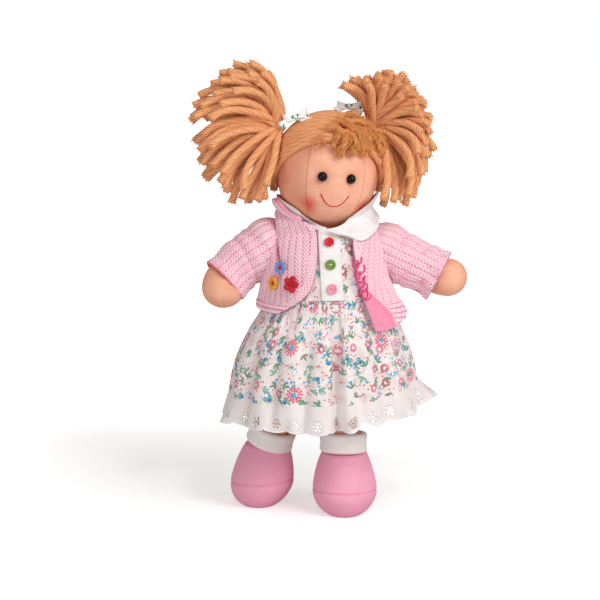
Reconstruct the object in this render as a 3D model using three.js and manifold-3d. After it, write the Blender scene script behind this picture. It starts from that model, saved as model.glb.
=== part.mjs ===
// A soft rag doll, standing, in a floral dress and an open knitted cardigan.
// Millimetres, +Z up. The floor is z = 0, the doll faces -Y, and +X is on the viewer's right.
import * as THREE from "three";
import { mergeVertices } from "three/addons/utils/BufferGeometryUtils.js";
import Module from "manifold-3d";

const wasm = await Module();
wasm.setup();

const degrees = THREE.MathUtils.degToRad;
const place = (x, y, z) => new THREE.Vector3(x, y, z);

// Gaps between pieces
const clearance = 0.3; // pieces that touch at rest
const turnClearance = 0.5; // round pieces that turn in a seat
const nodClearance = 4; // under the chin, where the head nods
const overrun = 5; // how far a cutter reaches past what it cuts

// The line through the body lies this far behind the origin, which is under the outline's middle
const originSetback = 5;

// Boots: flat soles on the floor
const bootWidth = 40;
const bootLength = 50;
const bootHeight = 37;
const bootSides = 22;
const bootShares = [
  // height, width, length, place along the length (towards the toe)
  [0, 0.58, 0.68, 0.05],
  [0.06, 0.74, 0.8, 0.05],
  [0.16, 0.88, 0.91, 0.055],
  [0.35, 1, 1, 0.06],
  [0.52, 0.97, 0.95, 0.045],
  [0.74, 0.88, 0.84, 0.02],
  [0.9, 0.78, 0.74, 0],
  [1, 0.7, 0.64, -0.01],
];
const rightBoot = { x: 12.2, y: -9, lean: 0 };
const leftBoot = { x: -41.5, y: 13, lean: 5 };

// Sock cuffs: rolled rings on top of the boots
const cuffRadius = 15;
const cuffHeight = 12.5;
const cuffRounding = 2.6;
const cuffSides = 16;

// Legs: sewn to the lower body, swinging about a crosswise line
const legRadius = 9.4;
const legRootRadius = 12;
const legNarrowingShare = 0.15; // of the leg's length, below its root
const legDepthInBoot = 13;
const legSides = 12;
const hipHeight = 86;
const rightHip = { x: 13, y: 0 };
const leftHip = { x: -15, y: 1 };
const rightKnee = { x: 12.4, y: -4, drop: 21 };
const leftKnee = { x: -24.2, y: 3, drop: 20 };
const rightAnkle = { x: 11.6, y: -8 };
const leftAnkle = { x: -33.6, y: 7 };

// Lower body: round about the line on which it folds
const foldHeight = 108;
const hipsRadius = 30;
const hipsWidth = 72;

// Torso
const torsoBottom = 112;
const torsoTop = 186;
const torsoEndShare = 0.84; // of the height, where the torso ends under the neckline
const torsoWidth = 72.6;
const torsoDepth = 66;
const torsoX = 0.6;
const torsoY = -1;
const torsoSides = 23;
const torsoShares = [
  // height, width, depth
  [0, 0.94, 0.91],
  [0.11, 0.99, 0.97],
  [0.26, 1, 1],
  [0.45, 0.925, 0.975],
  [0.62, 0.91, 0.89],
  [0.76, 0.85, 0.775],
  [0.87, 0.715, 0.635],
  [0.95, 0.525, 0.485],
  [1, 0.36, 0.34],
];

// Neck: a stump that the head sits on and nods about
const neckRadius = 9;
const neckDepth = 17;
const neckBallRadius = 11;
const neckSides = 14;

// Head: round about its own leaning axis
const headRadius = 30.7;
const headHeight = 68;
const headX = 1.3;
const headY = -3;
const headRise = 25.3; // centre of the head above the top of the torso
const headLeanAngle = 6; // degrees towards +X
const headYawAngle = 10.5; // degrees towards +X
const headSides = 24;
const headRings = 12;
const neckWayFlareShare = 0.36; // how fast the way through the head widens downwards
const nodShare = -0.24; // height of the nod line, as a share of half the head's height
const headSquareness = 2.15;
const headFullness = 0.53;

// Eyes: beads half sunk in the face
const eyeRadius = 3.1;
const eyeAngle = 16.8;
const eyeHeightShare = -0.03;

// Hair: a cap of yarn, a fringe and two bunches
const hairThickness = 4;
const yarnRadius = 2.9;
const yarnSides = 5;
const hairlineSetback = 4.5; // from the head's centre to the slanting plane of the hairline
const hairlineAngle = 45;
const napeShare = -0.42;
const cordRingRadius = 5.6;
const cordRadius = 1.1;
const cordSides = 6;
const cordSteps = 16;
const bunchRoots = {
  left: { azimuth: 96, polar: 54, standoff: 8.5 },
  right: { azimuth: -92, polar: 44, standoff: 5.5 },
};
const bunchReach = 58;
const bunchBowShare = 0.5; // how much of its droop each strand bows outwards at its middle
const bunchFallShare = 0.3; // and falls at its tip
const bunchStrandShares = {
  // sideways, forward, upward and droop, each as a share of the reach
  left: [
    [-0.46, -0.1, 0.58, 0.02],
    [-0.2, 0.12, 0.56, 0.02],
    [-0.66, 0.18, 0.44, 0.04],
    [-0.7, -0.34, 0.34, 0.06],
    [-0.92, 0.02, 0.18, 0.08],
    [-0.9, -0.26, 0.06, 0.1],
    [-0.88, 0.3, 0.04, 0.12],
    [-1.0, -0.04, -0.1, 0.1],
    [-0.78, -0.34, -0.18, 0.14],
    [-0.7, 0.38, -0.22, 0.14],
    [-0.74, -0.08, -0.38, 0.14],
    [-0.54, 0.2, -0.56, 0.14],
    [-0.46, -0.34, -0.42, 0.14],
    [-0.34, -0.04, -0.86, 0.1],
    [-0.42, -0.3, 0.46, 0.02],
    [-0.4, 0.42, 0.36, 0.04],
  ],
  right: [
    [-0.24, -0.1, 0.48, 0.02],
    [0.06, 0.12, 0.58, 0.02],
    [0.24, -0.14, 0.62, 0.02],
    [0.48, 0.16, 0.5, 0.04],
    [0.6, -0.24, 0.36, 0.06],
    [0.7, 0.1, 0.16, 0.08],
    [0.66, -0.3, 0.1, 0.1],
    [0.62, 0.36, 0.02, 0.12],
    [0.72, -0.06, -0.08, 0.12],
    [0.6, -0.36, -0.22, 0.14],
    [0.62, 0.3, -0.3, 0.14],
    [0.54, -0.12, -0.46, 0.16],
    [0.4, -0.4, -0.44, 0.16],
    [0.36, 0.26, -0.6, 0.16],
    [0.36, -0.06, -0.86, 0.1],
    [0.3, 0.42, 0.36, 0.06],
  ],
};
const fringeRadius = 3.2;
const fringeShares = [
  // azimuth at the root and at the tip in degrees, polar angle at the tip
  [18, 20, 56],
  [8, 8, 60],
  [-4, -5, 60],
  [-16, -19, 59],
  [-30, -33, 61],
  [-44, -50, 65],
];
const fringeRootAngle = 16;

// Ribbon bows
const bowWidth = 15;
const bowHeight = 9;
const bowThickness = 2.4;
const bowBulgeShare = 1.05; // how far the ends of the loops bulge past their corners
const bowPlaces = {
  left: { azimuth: 84, polar: 40, standoff: 3.5 },
  right: { azimuth: -116, polar: 17, standoff: 4 },
};
const bowTiltAngle = 24; // degrees that the bows face upwards

// Dress
const clothThickness = 1.5;
const bodiceBottomShare = 0.26;
const bodiceTopShare = 0.87;
const placketWidth = 13.4;
const placketBottom = 137;
const placketTop = 175.5;
const placketThickness = 1.2;
const placketX = { top: 1.8, bottom: 4.1 };
const buttonRadius = 3.15;
const buttonThickness = 1.6;
const buttonRimShare = 0.78;
const buttonHoleRadius = 0.55;
const buttonHoleOffset = 0.95;
const buttonShares = { red: 0.893, green: 0.556, pink: 0.182 }; // up the placket

// Collar
const collarThickness = 1.3;
const collarWidth = { left: 6, right: 12.5 };
const collarNeckRadius = 28;
const collarNeckHeight = 188;
const collarFrontNarrowing = 9; // how much closer the neckline comes at the front
const collarFrontDip = 9.5;
const collarNarrowingPower = 6;
const collarDipPower = 8;
const collarSpreadAngle = 150; // degrees from the front to the back end of each lobe
const collarSlopeAngle = 45; // degrees
const collarOutwardShare = 0.9; // of the way down, how far a lobe goes outwards
const collarDepthShare = 0.95; // the neckline is a little shallower than it is wide
const collarWidthShares = [
  // way round from the front, width
  [0, 0.36],
  [0.08, 0.88],
  [0.17, 0.92],
  [0.33, 1],
  [0.53, 0.72],
  [0.77, 0.56],
  [1, 0.4],
];
const collarSteps = 14;
const collarRows = 3;

// Skirt and its lace edging
const skirtWidth = 116;
const skirtDepth = 96;
const skirtX = -1;
const skirtY = -3.5;
const hemHeight = 74.5;
const hemRise = 8;
const foldCount = 9;
const foldBeat = 5; // a slower wave that makes the folds uneven
const foldBeatShare = 0.35;
const foldDepth = 2.7;
const foldPhase = 0.45;
const skirtSteps = 54;
const skirtShares = [
  // height down from the waist, spread from waist to hem
  [0, 0],
  [0.07, 0.02],
  [0.16, 0.2],
  [0.32, 0.48],
  [0.52, 0.72],
  [0.76, 0.9],
  [1, 1],
];
const skirtRings = skirtShares.length - 1;
const laceHeight = 15.5;
const laceFlare = 5;
const laceSideFlare = 6;
const laceSideLift = 6;
const laceThickness = 1.2;

// Cardigan
const knitThickness = 3;
const knitLooseness = 1.9; // between the dress and the knit
const cardiganBottom = 127.6;
const cardiganTop = 188;
const cardiganNeckDip = 13;
const cardiganDipPower = 8;
const cardiganBackDip = 3;
const cardiganSteps = 28;
const cardiganRings = 8;
const frontEdgeShares = {
  // height, distance of the edge from the middle line as a share of half the torso's width
  left: [
    [0, -0.8],
    [0.05, -0.68],
    [0.11, -0.53],
    [0.18, -0.39],
    [0.26, -0.28],
    [0.44, -0.19],
    [0.8, -0.17],
    [1, -0.3],
  ],
  right: [
    [0, 0.72],
    [0.1, 0.68],
    [0.26, 0.58],
    [0.5, 0.49],
    [0.72, 0.43],
    [1, 0.5],
  ],
};
const flapReach = 9;
const flapDrop = 6;
const flapAngle = 48;
const flapSpreadAngle = 34;

// Arms and sleeves
const armRadius = 10.2;
const wristShare = 0.65; // of the arm's length, where the hand begins to widen
const sleeveRadius = { left: 18, right: 17.5 };
const sleeveEndRadius = 14.8;
const sleeveSides = 14;
const sleeveCrumples = 3;
const sleeveCrumpleDepth = 0.7;
const shoulderDrop = { left: 20.5, right: 23 };
const leftShoulder = { x: -34.5, y: -1 };
const rightShoulder = { x: 36, y: 0 };
const leftElbow = { out: 15.5, forward: 1, down: 10 };
const rightElbow = { out: 17, forward: 1, down: 7.5 };
const leftCuff = { out: 27, forward: 5, down: 20.5 };
const rightCuff = { out: 33.5, forward: 3, down: 16 };
const handRadius = { left: 13.4, right: 11.8 };
const leftHandTip = { out: 31, forward: 14, down: 35.5 };
const rightHandTip = { out: 51.4, forward: 6, down: 17.5 };
const shoulderSwingAngles = { left: [-5, 70], right: [-20, 55] };
const sweepStepAngle = 10; // degrees between the positions for which room is cut under the arm

// Crocheted flowers sewn on the cardigan's front
const flowerThickness = 1.8;
const flowerLift = 0.3;
const petalDipShare = 0.2; // how far the outline dips between two petals
const flowerRadius = { blue: 4.4, yellow: 4.4, red: 5.4 };
const flowerPetals = { blue: 5, yellow: 6, red: 5 };
const flowerShares = {
  // sideways as a share of half the torso's width, and up the cardigan
  blue: [-0.76, 0.47],
  yellow: [-0.881, 0.305],
  red: [-0.584, 0.315],
};

// Closed solids from rings, sheets and cuts

function surface(points, faces) {
  const geometry = new THREE.BufferGeometry().setFromPoints(points);
  geometry.setIndex(faces.flat());
  return geometry;
}

// Rings run anticlockwise round the way of travel, and each end closes on its own middle point.
function loft(rings, start, end) {
  const sides = rings[0].length;
  const points = [...rings.flat(), start, end];
  const faces = [];
  const last = rings.length - 1;
  for (let side = 0; side < sides; side++) {
    const next = (side + 1) % sides;
    faces.push([points.length - 2, next, side]);
    faces.push([points.length - 1, last * sides + side, last * sides + next]);
    for (let ring = 0; ring < last; ring++) {
      const here = ring * sides;
      const above = here + sides;
      faces.push([here + side, here + next, above + next]);
      faces.push([here + side, above + next, above + side]);
    }
  }
  return surface(points, faces);
}

// A ring of points about a centre, with its two half-axes given as vectors.
function ring(centre, across, up, sides) {
  return Array.from({ length: sides }, (_, side) => {
    const turn = (2 * Math.PI * side) / sides;
    return centre
      .clone()
      .addScaledVector(across, Math.cos(turn))
      .addScaledVector(up, Math.sin(turn));
  });
}

function level(x, y, z, halfWidth, halfDepth, sides) {
  return ring(place(x, y, z), place(halfWidth, 0, 0), place(0, halfDepth, 0), sides);
}

// A sheet with thickness. outer and inner give its two faces for u along it and v up it, from 0 to 1.
function thickSheet(outer, inner, steps, rows, closed = false) {
  const columns = closed ? steps : steps + 1;
  const grid = (face) =>
    Array.from({ length: rows + 1 }, (_, row) =>
      Array.from({ length: columns }, (_, step) => face(step / steps, row / rows)),
    );
  const points = [...grid(outer).flat(), ...grid(inner).flat()];
  const o = (row, step) => row * columns + (step % columns);
  const n = (row, step) => (rows + 1) * columns + o(row, step);
  const faces = [];
  const quad = (a, b, c, d) => faces.push([a, b, c], [a, c, d]);
  for (let step = 0; step < steps; step++) {
    for (let row = 0; row < rows; row++) {
      quad(o(row, step), o(row, step + 1), o(row + 1, step + 1), o(row + 1, step));
      quad(n(row, step), n(row + 1, step), n(row + 1, step + 1), n(row, step + 1));
    }
    quad(o(0, step), n(0, step), n(0, step + 1), o(0, step + 1));
    quad(o(rows, step), o(rows, step + 1), n(rows, step + 1), n(rows, step));
  }
  if (!closed) {
    for (let row = 0; row < rows; row++) {
      quad(o(row, 0), o(row + 1, 0), n(row + 1, 0), n(row, 0));
      quad(o(row, steps), n(row, steps), n(row + 1, steps), o(row + 1, steps));
    }
  }
  return surface(points, faces);
}

// A stuffed tube along a curve, with round or flat ends. radiusAt takes the share of the length.
function tube(curve, radiusAt, sides, steps, { roundStart = true, roundEnd = true } = {}) {
  const rings = [];
  const forward = place(0, -1, 0);
  const frame = (share) => {
    const along = curve.getTangentAt(share);
    const up = forward.clone().addScaledVector(along, -forward.dot(along)).normalize();
    return { along, up, across: up.clone().cross(along) };
  };
  const add = (centre, share, radius) => {
    const { across, up } = frame(share);
    rings.push(ring(centre, across.multiplyScalar(radius), up.multiplyScalar(radius), sides));
  };
  const capRings = 3;
  const dome = (share, way) => {
    const centre = curve.getPointAt(share);
    const radius = radiusAt(share);
    const { along } = frame(share);
    for (let cap = 1; cap < capRings; cap++) {
      const turn = ((way > 0 ? capRings - cap : cap) / capRings) * (Math.PI / 2);
      const shift = way * radius * Math.cos(turn);
      add(centre.clone().addScaledVector(along, shift), share, radius * Math.sin(turn));
    }
    return centre.addScaledVector(along, way * radius);
  };
  const start = roundStart ? dome(0, -1) : curve.getPointAt(0);
  for (let step = 0; step <= steps; step++) {
    add(curve.getPointAt(step / steps), step / steps, radiusAt(step / steps));
  }
  const end = roundEnd ? dome(1, 1) : curve.getPointAt(1);
  return loft(rings, start, end);
}

function solid(geometry) {
  const bare = geometry.index ? geometry.toNonIndexed() : geometry.clone();
  bare.deleteAttribute("normal");
  bare.deleteAttribute("uv");
  const merged = mergeVertices(bare);
  return new wasm.Manifold(
    new wasm.Mesh({
      numProp: 3,
      vertProperties: merged.attributes.position.array,
      triVerts: new Uint32Array(merged.index.array),
    }),
  );
}

function geometryOf(made) {
  const { vertProperties, triVerts } = made.getMesh();
  const geometry = new THREE.BufferGeometry();
  geometry.setAttribute("position", new THREE.BufferAttribute(vertProperties, 3));
  geometry.setIndex(new THREE.BufferAttribute(triVerts, 1));
  return geometry;
}

// What is left of a piece once the cutters are taken away. Offcuts fall off, and the main body stays.
function cut(geometry, ...cutters) {
  let made = solid(geometry);
  for (const cutter of cutters) made = made.subtract(solid(cutter));
  const bodies = made.decompose();
  bodies.sort((a, b) => b.volume() - a.volume());
  return geometryOf(bodies[0]);
}

function join(geometries) {
  return geometryOf(geometries.map(solid).reduce((whole, next) => whole.add(next)));
}

// A smooth value from a table of shares whose first column rises.
function fromTable(table, share, column) {
  const last = table.length - 1;
  const at = Math.min(Math.max(share, table[0][0]), table[last][0]);
  let row = 0;
  while (row < last - 1 && table[row + 1][0] < at) row++;
  const slope = (k) => {
    const before = table[Math.max(k - 1, 0)];
    const after = table[Math.min(k + 1, last)];
    return (after[column] - before[column]) / (after[0] - before[0]);
  };
  const span = table[row + 1][0] - table[row][0];
  const t = (at - table[row][0]) / span;
  const [a, b] = [table[row][column], table[row + 1][column]];
  const [ma, mb] = [slope(row) * span, slope(row + 1) * span];
  const t2 = t * t;
  const t3 = t2 * t;
  return (
    a * (2 * t3 - 3 * t2 + 1) + ma * (t3 - 2 * t2 + t) + b * (3 * t2 - 2 * t3) + mb * (t3 - t2)
  );
}

function material(colour, roughness = 0.9) {
  return new THREE.MeshStandardMaterial({ color: colour, roughness, metalness: 0 });
}

const skin = () => material("#f3b896");
const floral = () => material("#efe6e2");
const white = () => material("#f4f1ee");
const pinkKnit = () => material("#f0a3c4");
const bootCloth = () => material("#e67fb4");
const yarn = () => material("#d9965c");

const doll = new THREE.Group();
doll.position.set(0, originSetback, 0);

function add(parent, name, geometry, look) {
  const mesh = new THREE.Mesh(geometry, look);
  geometry.computeVertexNormals();
  mesh.name = name;
  parent.add(mesh);
  return mesh;
}

// Legs, sock cuffs and boots

const cuffMiddle = bootHeight + clearance + cuffHeight / 2;

function legCurve(hip, knee, ankle, boot) {
  return new THREE.CatmullRomCurve3([
    place(hip.x, hip.y, hipHeight),
    place(knee.x, knee.y, hipHeight - knee.drop),
    place(ankle.x, ankle.y, cuffMiddle),
    place((ankle.x + boot.x) / 2, (ankle.y + boot.y) / 2, bootHeight - legDepthInBoot),
  ]);
}

function legRadiusAt(share) {
  const left = Math.max(0, 1 - share / legNarrowingShare);
  return legRadius + (legRootRadius - legRadius) * left * left;
}

function legShape(curve, grow) {
  const steps = 7;
  return tube(curve, (share) => legRadiusAt(share) + grow, legSides, steps, { roundEnd: false });
}

// A rolled ring whose section is a rounded oblong, lying across the leg at the ankle.
function cuffShape(curve, innerRadius, grow = 0) {
  const profile = [];
  const cornerSteps = 2;
  const half = cuffHeight / 2 + grow;
  const outer = cuffRadius + grow;
  profile.push(new THREE.Vector2(innerRadius, -half));
  for (const way of [-1, 1]) {
    for (let step = 0; step <= cornerSteps; step++) {
      const turn = (way < 0 ? step - cornerSteps : step) * (Math.PI / 2 / cornerSteps);
      const radial = Math.cos(turn) * cuffRounding;
      const upward = Math.sin(turn) * cuffRounding;
      profile.push(
        new THREE.Vector2(outer - cuffRounding + radial, way * (half - cuffRounding) + upward),
      );
    }
  }
  profile.push(new THREE.Vector2(innerRadius, half));
  profile.push(new THREE.Vector2(innerRadius, -half));
  const geometry = new THREE.LatheGeometry(profile, cuffSides);
  return setAcross(geometry, curve);
}

// Turns a piece made about the Y axis so that it lies across the leg at the cuff's height.
function setAcross(geometry, curve) {
  const samples = 60;
  let nearest = 0;
  for (let k = 0; k <= samples; k++) {
    const gap = Math.abs(curve.getPointAt(k / samples).z - cuffMiddle);
    if (gap < Math.abs(curve.getPointAt(nearest).z - cuffMiddle)) nearest = k / samples;
  }
  const up = curve.getTangentAt(nearest).negate();
  const turn = new THREE.Quaternion().setFromUnitVectors(place(0, 1, 0), up);
  const middle = curve.getPointAt(nearest);
  geometry.applyQuaternion(turn);
  return geometry.translate(middle.x, middle.y, middle.z);
}

function cuffSeat(curve) {
  const radius = cuffRadius + clearance;
  const height = cuffHeight + 2 * clearance;
  return setAcross(new THREE.CylinderGeometry(radius, radius, height, cuffSides), curve);
}

function bootShape(boot) {
  const rings = bootShares.map(([up, wide, long, toe]) =>
    level(
      boot.x + boot.lean * up,
      boot.y - toe * bootLength,
      bootHeight * up,
      (bootWidth / 2) * wide,
      (bootLength / 2) * long,
      bootSides,
    ),
  );
  const [, , , toe] = bootShares.at(-1);
  const start = place(boot.x, boot.y - bootShares[0][3] * bootLength, 0);
  const end = place(boot.x + boot.lean, boot.y - toe * bootLength, bootHeight);
  return loft(rings, start, end);
}

function makeLeg(side, hip, knee, ankle, boot) {
  const curve = legCurve(hip, knee, ankle, boot);
  const leg = legShape(curve, 0);
  const innerRadius = legRadius + clearance + turnClearance;
  const cuff = cut(cuffShape(curve, innerRadius / 2), legShape(curve, clearance));
  add(doll, "leg_" + side, leg, skin());
  add(doll, "sock_cuff_" + side, cuff, white());
  const seats = [legShape(curve, clearance), cuffSeat(curve)];
  add(doll, "boot_" + side, cut(bootShape(boot), ...seats), bootCloth());
  return curve;
}

const rightLeg = makeLeg("right", rightHip, rightKnee, rightAnkle, rightBoot);
const leftLeg = makeLeg("left", leftHip, leftKnee, leftAnkle, leftBoot);

// Turns a shape about a crosswise or lengthwise line through a point.
function turned(geometry, axis, angle, centre) {
  const moved = geometry.clone().translate(-centre.x, -centre.y, -centre.z);
  moved.applyQuaternion(new THREE.Quaternion().setFromAxisAngle(axis, degrees(angle)));
  return moved.translate(centre.x, centre.y, centre.z);
}

// A round seat for the root of a limb.
function seatAt(centre, radius) {
  const sides = 12;
  const roomy = 1 / Math.cos(Math.PI / sides) ** 2;
  const seat = new THREE.SphereGeometry(radius * roomy, sides, sides / 2);
  return seat.translate(centre.x, centre.y, centre.z);
}

// Lower body

function hipsShape(grow) {
  const sides = 20;
  const geometry = new THREE.SphereGeometry(1, sides, sides / 2).rotateZ(Math.PI / 2);
  geometry.scale(hipsWidth / 2 + grow, hipsRadius + grow, hipsRadius + grow);
  return geometry.translate(torsoX, 0, foldHeight);
}

// The leg's round root sits in a round seat, and below it the body is open for the swing.
function legSpace(curve) {
  const centre = curve.getPointAt(0);
  const radius = legRootRadius + turnClearance;
  const slot = new THREE.BoxGeometry(2 * radius, 2 * hipsRadius + overrun, hipsRadius);
  slot.translate(centre.x, 0, centre.z - hipsRadius / 2);
  return join([seatAt(centre, radius), slot]);
}

add(doll, "lower_body", cut(hipsShape(0), legSpace(rightLeg), legSpace(leftLeg)), skin());

// Arms and sleeves

function shoulderPoint(side) {
  const at = side === "left" ? leftShoulder : rightShoulder;
  return place(at.x, at.y, torsoTop - shoulderDrop[side]);
}

// A point given as distances outward, forward and down from the shoulder.
function fromShoulder(side, { out, forward, down }) {
  const way = side === "left" ? -1 : 1;
  return shoulderPoint(side).add(place(way * out, -forward, -down));
}

function sleeveCurve(side) {
  const elbow = side === "left" ? leftElbow : rightElbow;
  const cuff = side === "left" ? leftCuff : rightCuff;
  return new THREE.CatmullRomCurve3([
    shoulderPoint(side),
    fromShoulder(side, elbow),
    fromShoulder(side, cuff),
  ]);
}

function sleeveShape(side, grow) {
  const steps = 8;
  const narrowing = sleeveRadius[side] - sleeveEndRadius;
  const radiusAt = (share) => {
    const crumple = Math.sin(share * sleeveCrumples * 2 * Math.PI) * sleeveCrumpleDepth;
    return sleeveRadius[side] - narrowing * share - Math.abs(crumple) + grow;
  };
  return tube(sleeveCurve(side), radiusAt, sleeveSides, steps, { roundEnd: false });
}

function armShape(side, grow) {
  const steps = 7;
  const tip = fromShoulder(side, side === "left" ? leftHandTip : rightHandTip);
  const cuff = fromShoulder(side, side === "left" ? leftCuff : rightCuff);
  const back = cuff.clone().sub(tip).normalize();
  const palm = tip.clone().addScaledVector(back, handRadius[side]);
  const elbow = fromShoulder(side, side === "left" ? leftElbow : rightElbow);
  const curve = new THREE.CatmullRomCurve3([shoulderPoint(side), elbow, cuff, palm]);
  const radiusAt = (share) => {
    const opening = THREE.MathUtils.smoothstep(share, wristShare, 1);
    return armRadius + (handRadius[side] - armRadius) * opening + grow;
  };
  const sides = 14;
  return tube(curve, radiusAt, sides, steps);
}

const shoulderAxes = { left: place(0, 1, 0), right: place(0, -1, 0) };

// A round seat for the root of the sleeve, and below it room for the arm to come down.
function armSpace(side) {
  const centre = shoulderPoint(side);
  const radius = sleeveRadius[side] + turnClearance;
  const sides = 8;
  const roomy = 1 / Math.cos(Math.PI / sides);
  const narrowing = radius - sleeveEndRadius;
  const radiusAt = (share) => (radius - narrowing * share) * roomy;
  const flat = { roundStart: false, roundEnd: false };
  const sleeve = tube(sleeveCurve(side), radiusAt, sides, 2, flat);
  const [lowest] = shoulderSwingAngles[side];
  const count = Math.ceil(-lowest / sweepStepAngle);
  const poses = [seatAt(centre, radius)];
  for (let k = 0; k <= count; k++) {
    poses.push(turned(sleeve, shoulderAxes[side], (lowest * k) / count, centre));
  }
  return join(poses);
}

for (const side of ["left", "right"]) {
  add(doll, "arm_" + side, armShape(side, 0), skin());
  const sleeve = cut(sleeveShape(side, 0), armShape(side, clearance));
  add(doll, "sleeve_" + side, sleeve, pinkKnit());
}
const armholes = [armSpace("left"), armSpace("right")];

// Torso: every layer of clothing follows the same outline, grown outwards

function torsoHeightAt(share) {
  return torsoBottom + (torsoTop - torsoBottom) * share;
}

// Azimuth 0 is the front, and it grows towards +X.
function bodyPoint(height, azimuth, grow) {
  const share = (height - torsoBottom) / (torsoTop - torsoBottom);
  const halfWidth = (torsoWidth / 2) * fromTable(torsoShares, share, 1) + grow;
  const halfDepth = (torsoDepth / 2) * fromTable(torsoShares, share, 2) + grow;
  return place(
    torsoX + halfWidth * Math.sin(azimuth),
    torsoY - halfDepth * Math.cos(azimuth),
    height,
  );
}

// The azimuth at which the body's outline stands at a given distance to the side.
function azimuthOf(height, x, grow) {
  const share = (height - torsoBottom) / (torsoTop - torsoBottom);
  const halfWidth = (torsoWidth / 2) * fromTable(torsoShares, share, 1) + grow;
  return Math.asin(Math.max(-1, Math.min(1, (x - torsoX) / halfWidth)));
}

function torsoShape(grow) {
  const rings = torsoShares.map(([share]) =>
    Array.from({ length: torsoSides }, (_, side) =>
      bodyPoint(torsoHeightAt(share), (2 * Math.PI * side) / torsoSides, grow),
    ),
  );
  return loft(rings, place(torsoX, torsoY, torsoBottom), place(torsoX, torsoY, torsoTop));
}

// Head, neck and the pieces on the head, in a frame that leans and turns with the head

const headCentre = place(headX, headY, torsoTop + headRise);
const headGroup = new THREE.Group();
headGroup.position.copy(headCentre);
headGroup.rotation.set(0, degrees(headLeanAngle), degrees(headYawAngle), "YZX");
headGroup.updateMatrix();
doll.add(headGroup);

// How far out the head's surface lies at a height given as a share of half its height.
function headRadiusAt(share) {
  return headRadius * (1 - Math.abs(share) ** headSquareness) ** headFullness;
}

function headShape(grow, sides = headSides, rings = headRings) {
  const halfHeight = headHeight / 2 + grow;
  const widen = (headRadius + grow) / headRadius;
  const profile = Array.from({ length: rings + 1 }, (_, k) => {
    const turn = -Math.PI / 2 + (Math.PI * k) / rings;
    const share = Math.sin(turn);
    const atPole = k === 0 || k === rings;
    const radius = atPole ? 0 : headRadiusAt(share) * widen;
    return new THREE.Vector2(radius, share * halfHeight);
  });
  return new THREE.LatheGeometry(profile, sides).rotateX(Math.PI / 2);
}

// A point over the head's surface: azimuth from the face, growing towards the doll's own right
// hand (the viewer's left), and polar angle from the crown.
function onHead(azimuth, polar, lift) {
  const share = Math.cos(degrees(polar));
  const widen = (headRadius + lift) / headRadius;
  const radius = headRadiusAt(share) * widen;
  return place(
    -radius * Math.sin(degrees(azimuth)),
    -radius * Math.cos(degrees(azimuth)),
    share * (headHeight / 2 + lift),
  );
}

const nodPoint = place(0, 0, (headHeight / 2) * nodShare);
const neckBottom = -headRise - neckDepth;

function neckShape(grow, bottom) {
  const curve = new THREE.LineCurve3(place(0, 0, bottom), nodPoint);
  const steps = 2;
  const shaft = tube(curve, () => neckRadius + grow, neckSides, steps, { roundStart: false });
  const ball = new THREE.SphereGeometry(neckBallRadius + grow, neckSides, neckSides / 2);
  return join([shaft, ball.translate(nodPoint.x, nodPoint.y, nodPoint.z)]);
}

// The flared way through the underside of the head, wide enough for the nod.
function neckWay() {
  const length = headHeight;
  const top = neckRadius + turnClearance;
  const bottom = top + length * neckWayFlareShare;
  const cone = new THREE.CylinderGeometry(top, bottom, length, neckSides);
  return cone.rotateX(Math.PI / 2).translate(0, 0, nodPoint.z - length / 2);
}

add(headGroup, "neck", neckShape(0, neckBottom), skin());

const eyeShapes = {};
for (const [side, way] of [["left", 1], ["right", -1]]) {
  const polar = THREE.MathUtils.radToDeg(Math.acos(eyeHeightShare));
  const at = onHead(way * eyeAngle, polar, 0);
  const sides = 12;
  const bead = (radius) => {
    const ball = new THREE.SphereGeometry(radius, sides, sides / 2);
    return ball.rotateX(Math.PI / 2).translate(at.x, at.y, at.z);
  };
  eyeShapes[side] = bead(eyeRadius + clearance);
  add(headGroup, "eye_" + side, bead(eyeRadius), material("#141214", 0.15));
}

const headSolid = cut(
  headShape(0),
  neckShape(turnClearance, neckBottom),
  neckWay(),
  ...Object.values(eyeShapes),
);
add(headGroup, "head", headSolid, skin());

// Hair cap: a shell over the crown and the back of the head, open before and below the hairline
function beforeHairline() {
  const size = 4 * headRadius;
  const block = new THREE.BoxGeometry(size, size, size);
  return block.translate(0, 0, -size / 2 - hairlineSetback).rotateX(-degrees(hairlineAngle));
}

function belowNape() {
  const size = 4 * headRadius;
  const block = new THREE.BoxGeometry(size, size, size);
  return block.translate(0, 0, (headHeight / 2) * napeShare - size / 2);
}

const capLift = hairThickness + clearance;
const cap = cut(headShape(capLift), headShape(clearance), beforeHairline(), belowNape());
add(headGroup, "hair_cap", cap, yarn());

const cutEnds = { roundStart: false, roundEnd: false };

// Fringe: short strands from the crown over the forehead
const fringeLift = capLift + 2 * clearance + fringeRadius;
const fringeStrands = fringeShares.map(([rootAzimuth, tipAzimuth, tipPolar]) => {
  const middlePolar = (fringeRootAngle + tipPolar) / 2;
  const middleAzimuth = (rootAzimuth + tipAzimuth) / 2;
  const curve = new THREE.CatmullRomCurve3([
    onHead(rootAzimuth, fringeRootAngle, fringeLift),
    onHead(middleAzimuth, middlePolar, fringeLift + yarnRadius / 2),
    onHead(tipAzimuth, tipPolar, fringeLift),
  ]);
  const steps = 3;
  return tube(curve, () => fringeRadius, yarnSides, steps, cutEnds);
});
add(headGroup, "fringe", join(fringeStrands), yarn());

// Bunches: strands that spread from a tie at each side of the head
const upright = headGroup.matrix.clone().invert();

// A direction given in the room's own axes, as seen from the head.
function fromRoom(x, y, z) {
  return place(x, y, z).transformDirection(upright);
}

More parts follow.
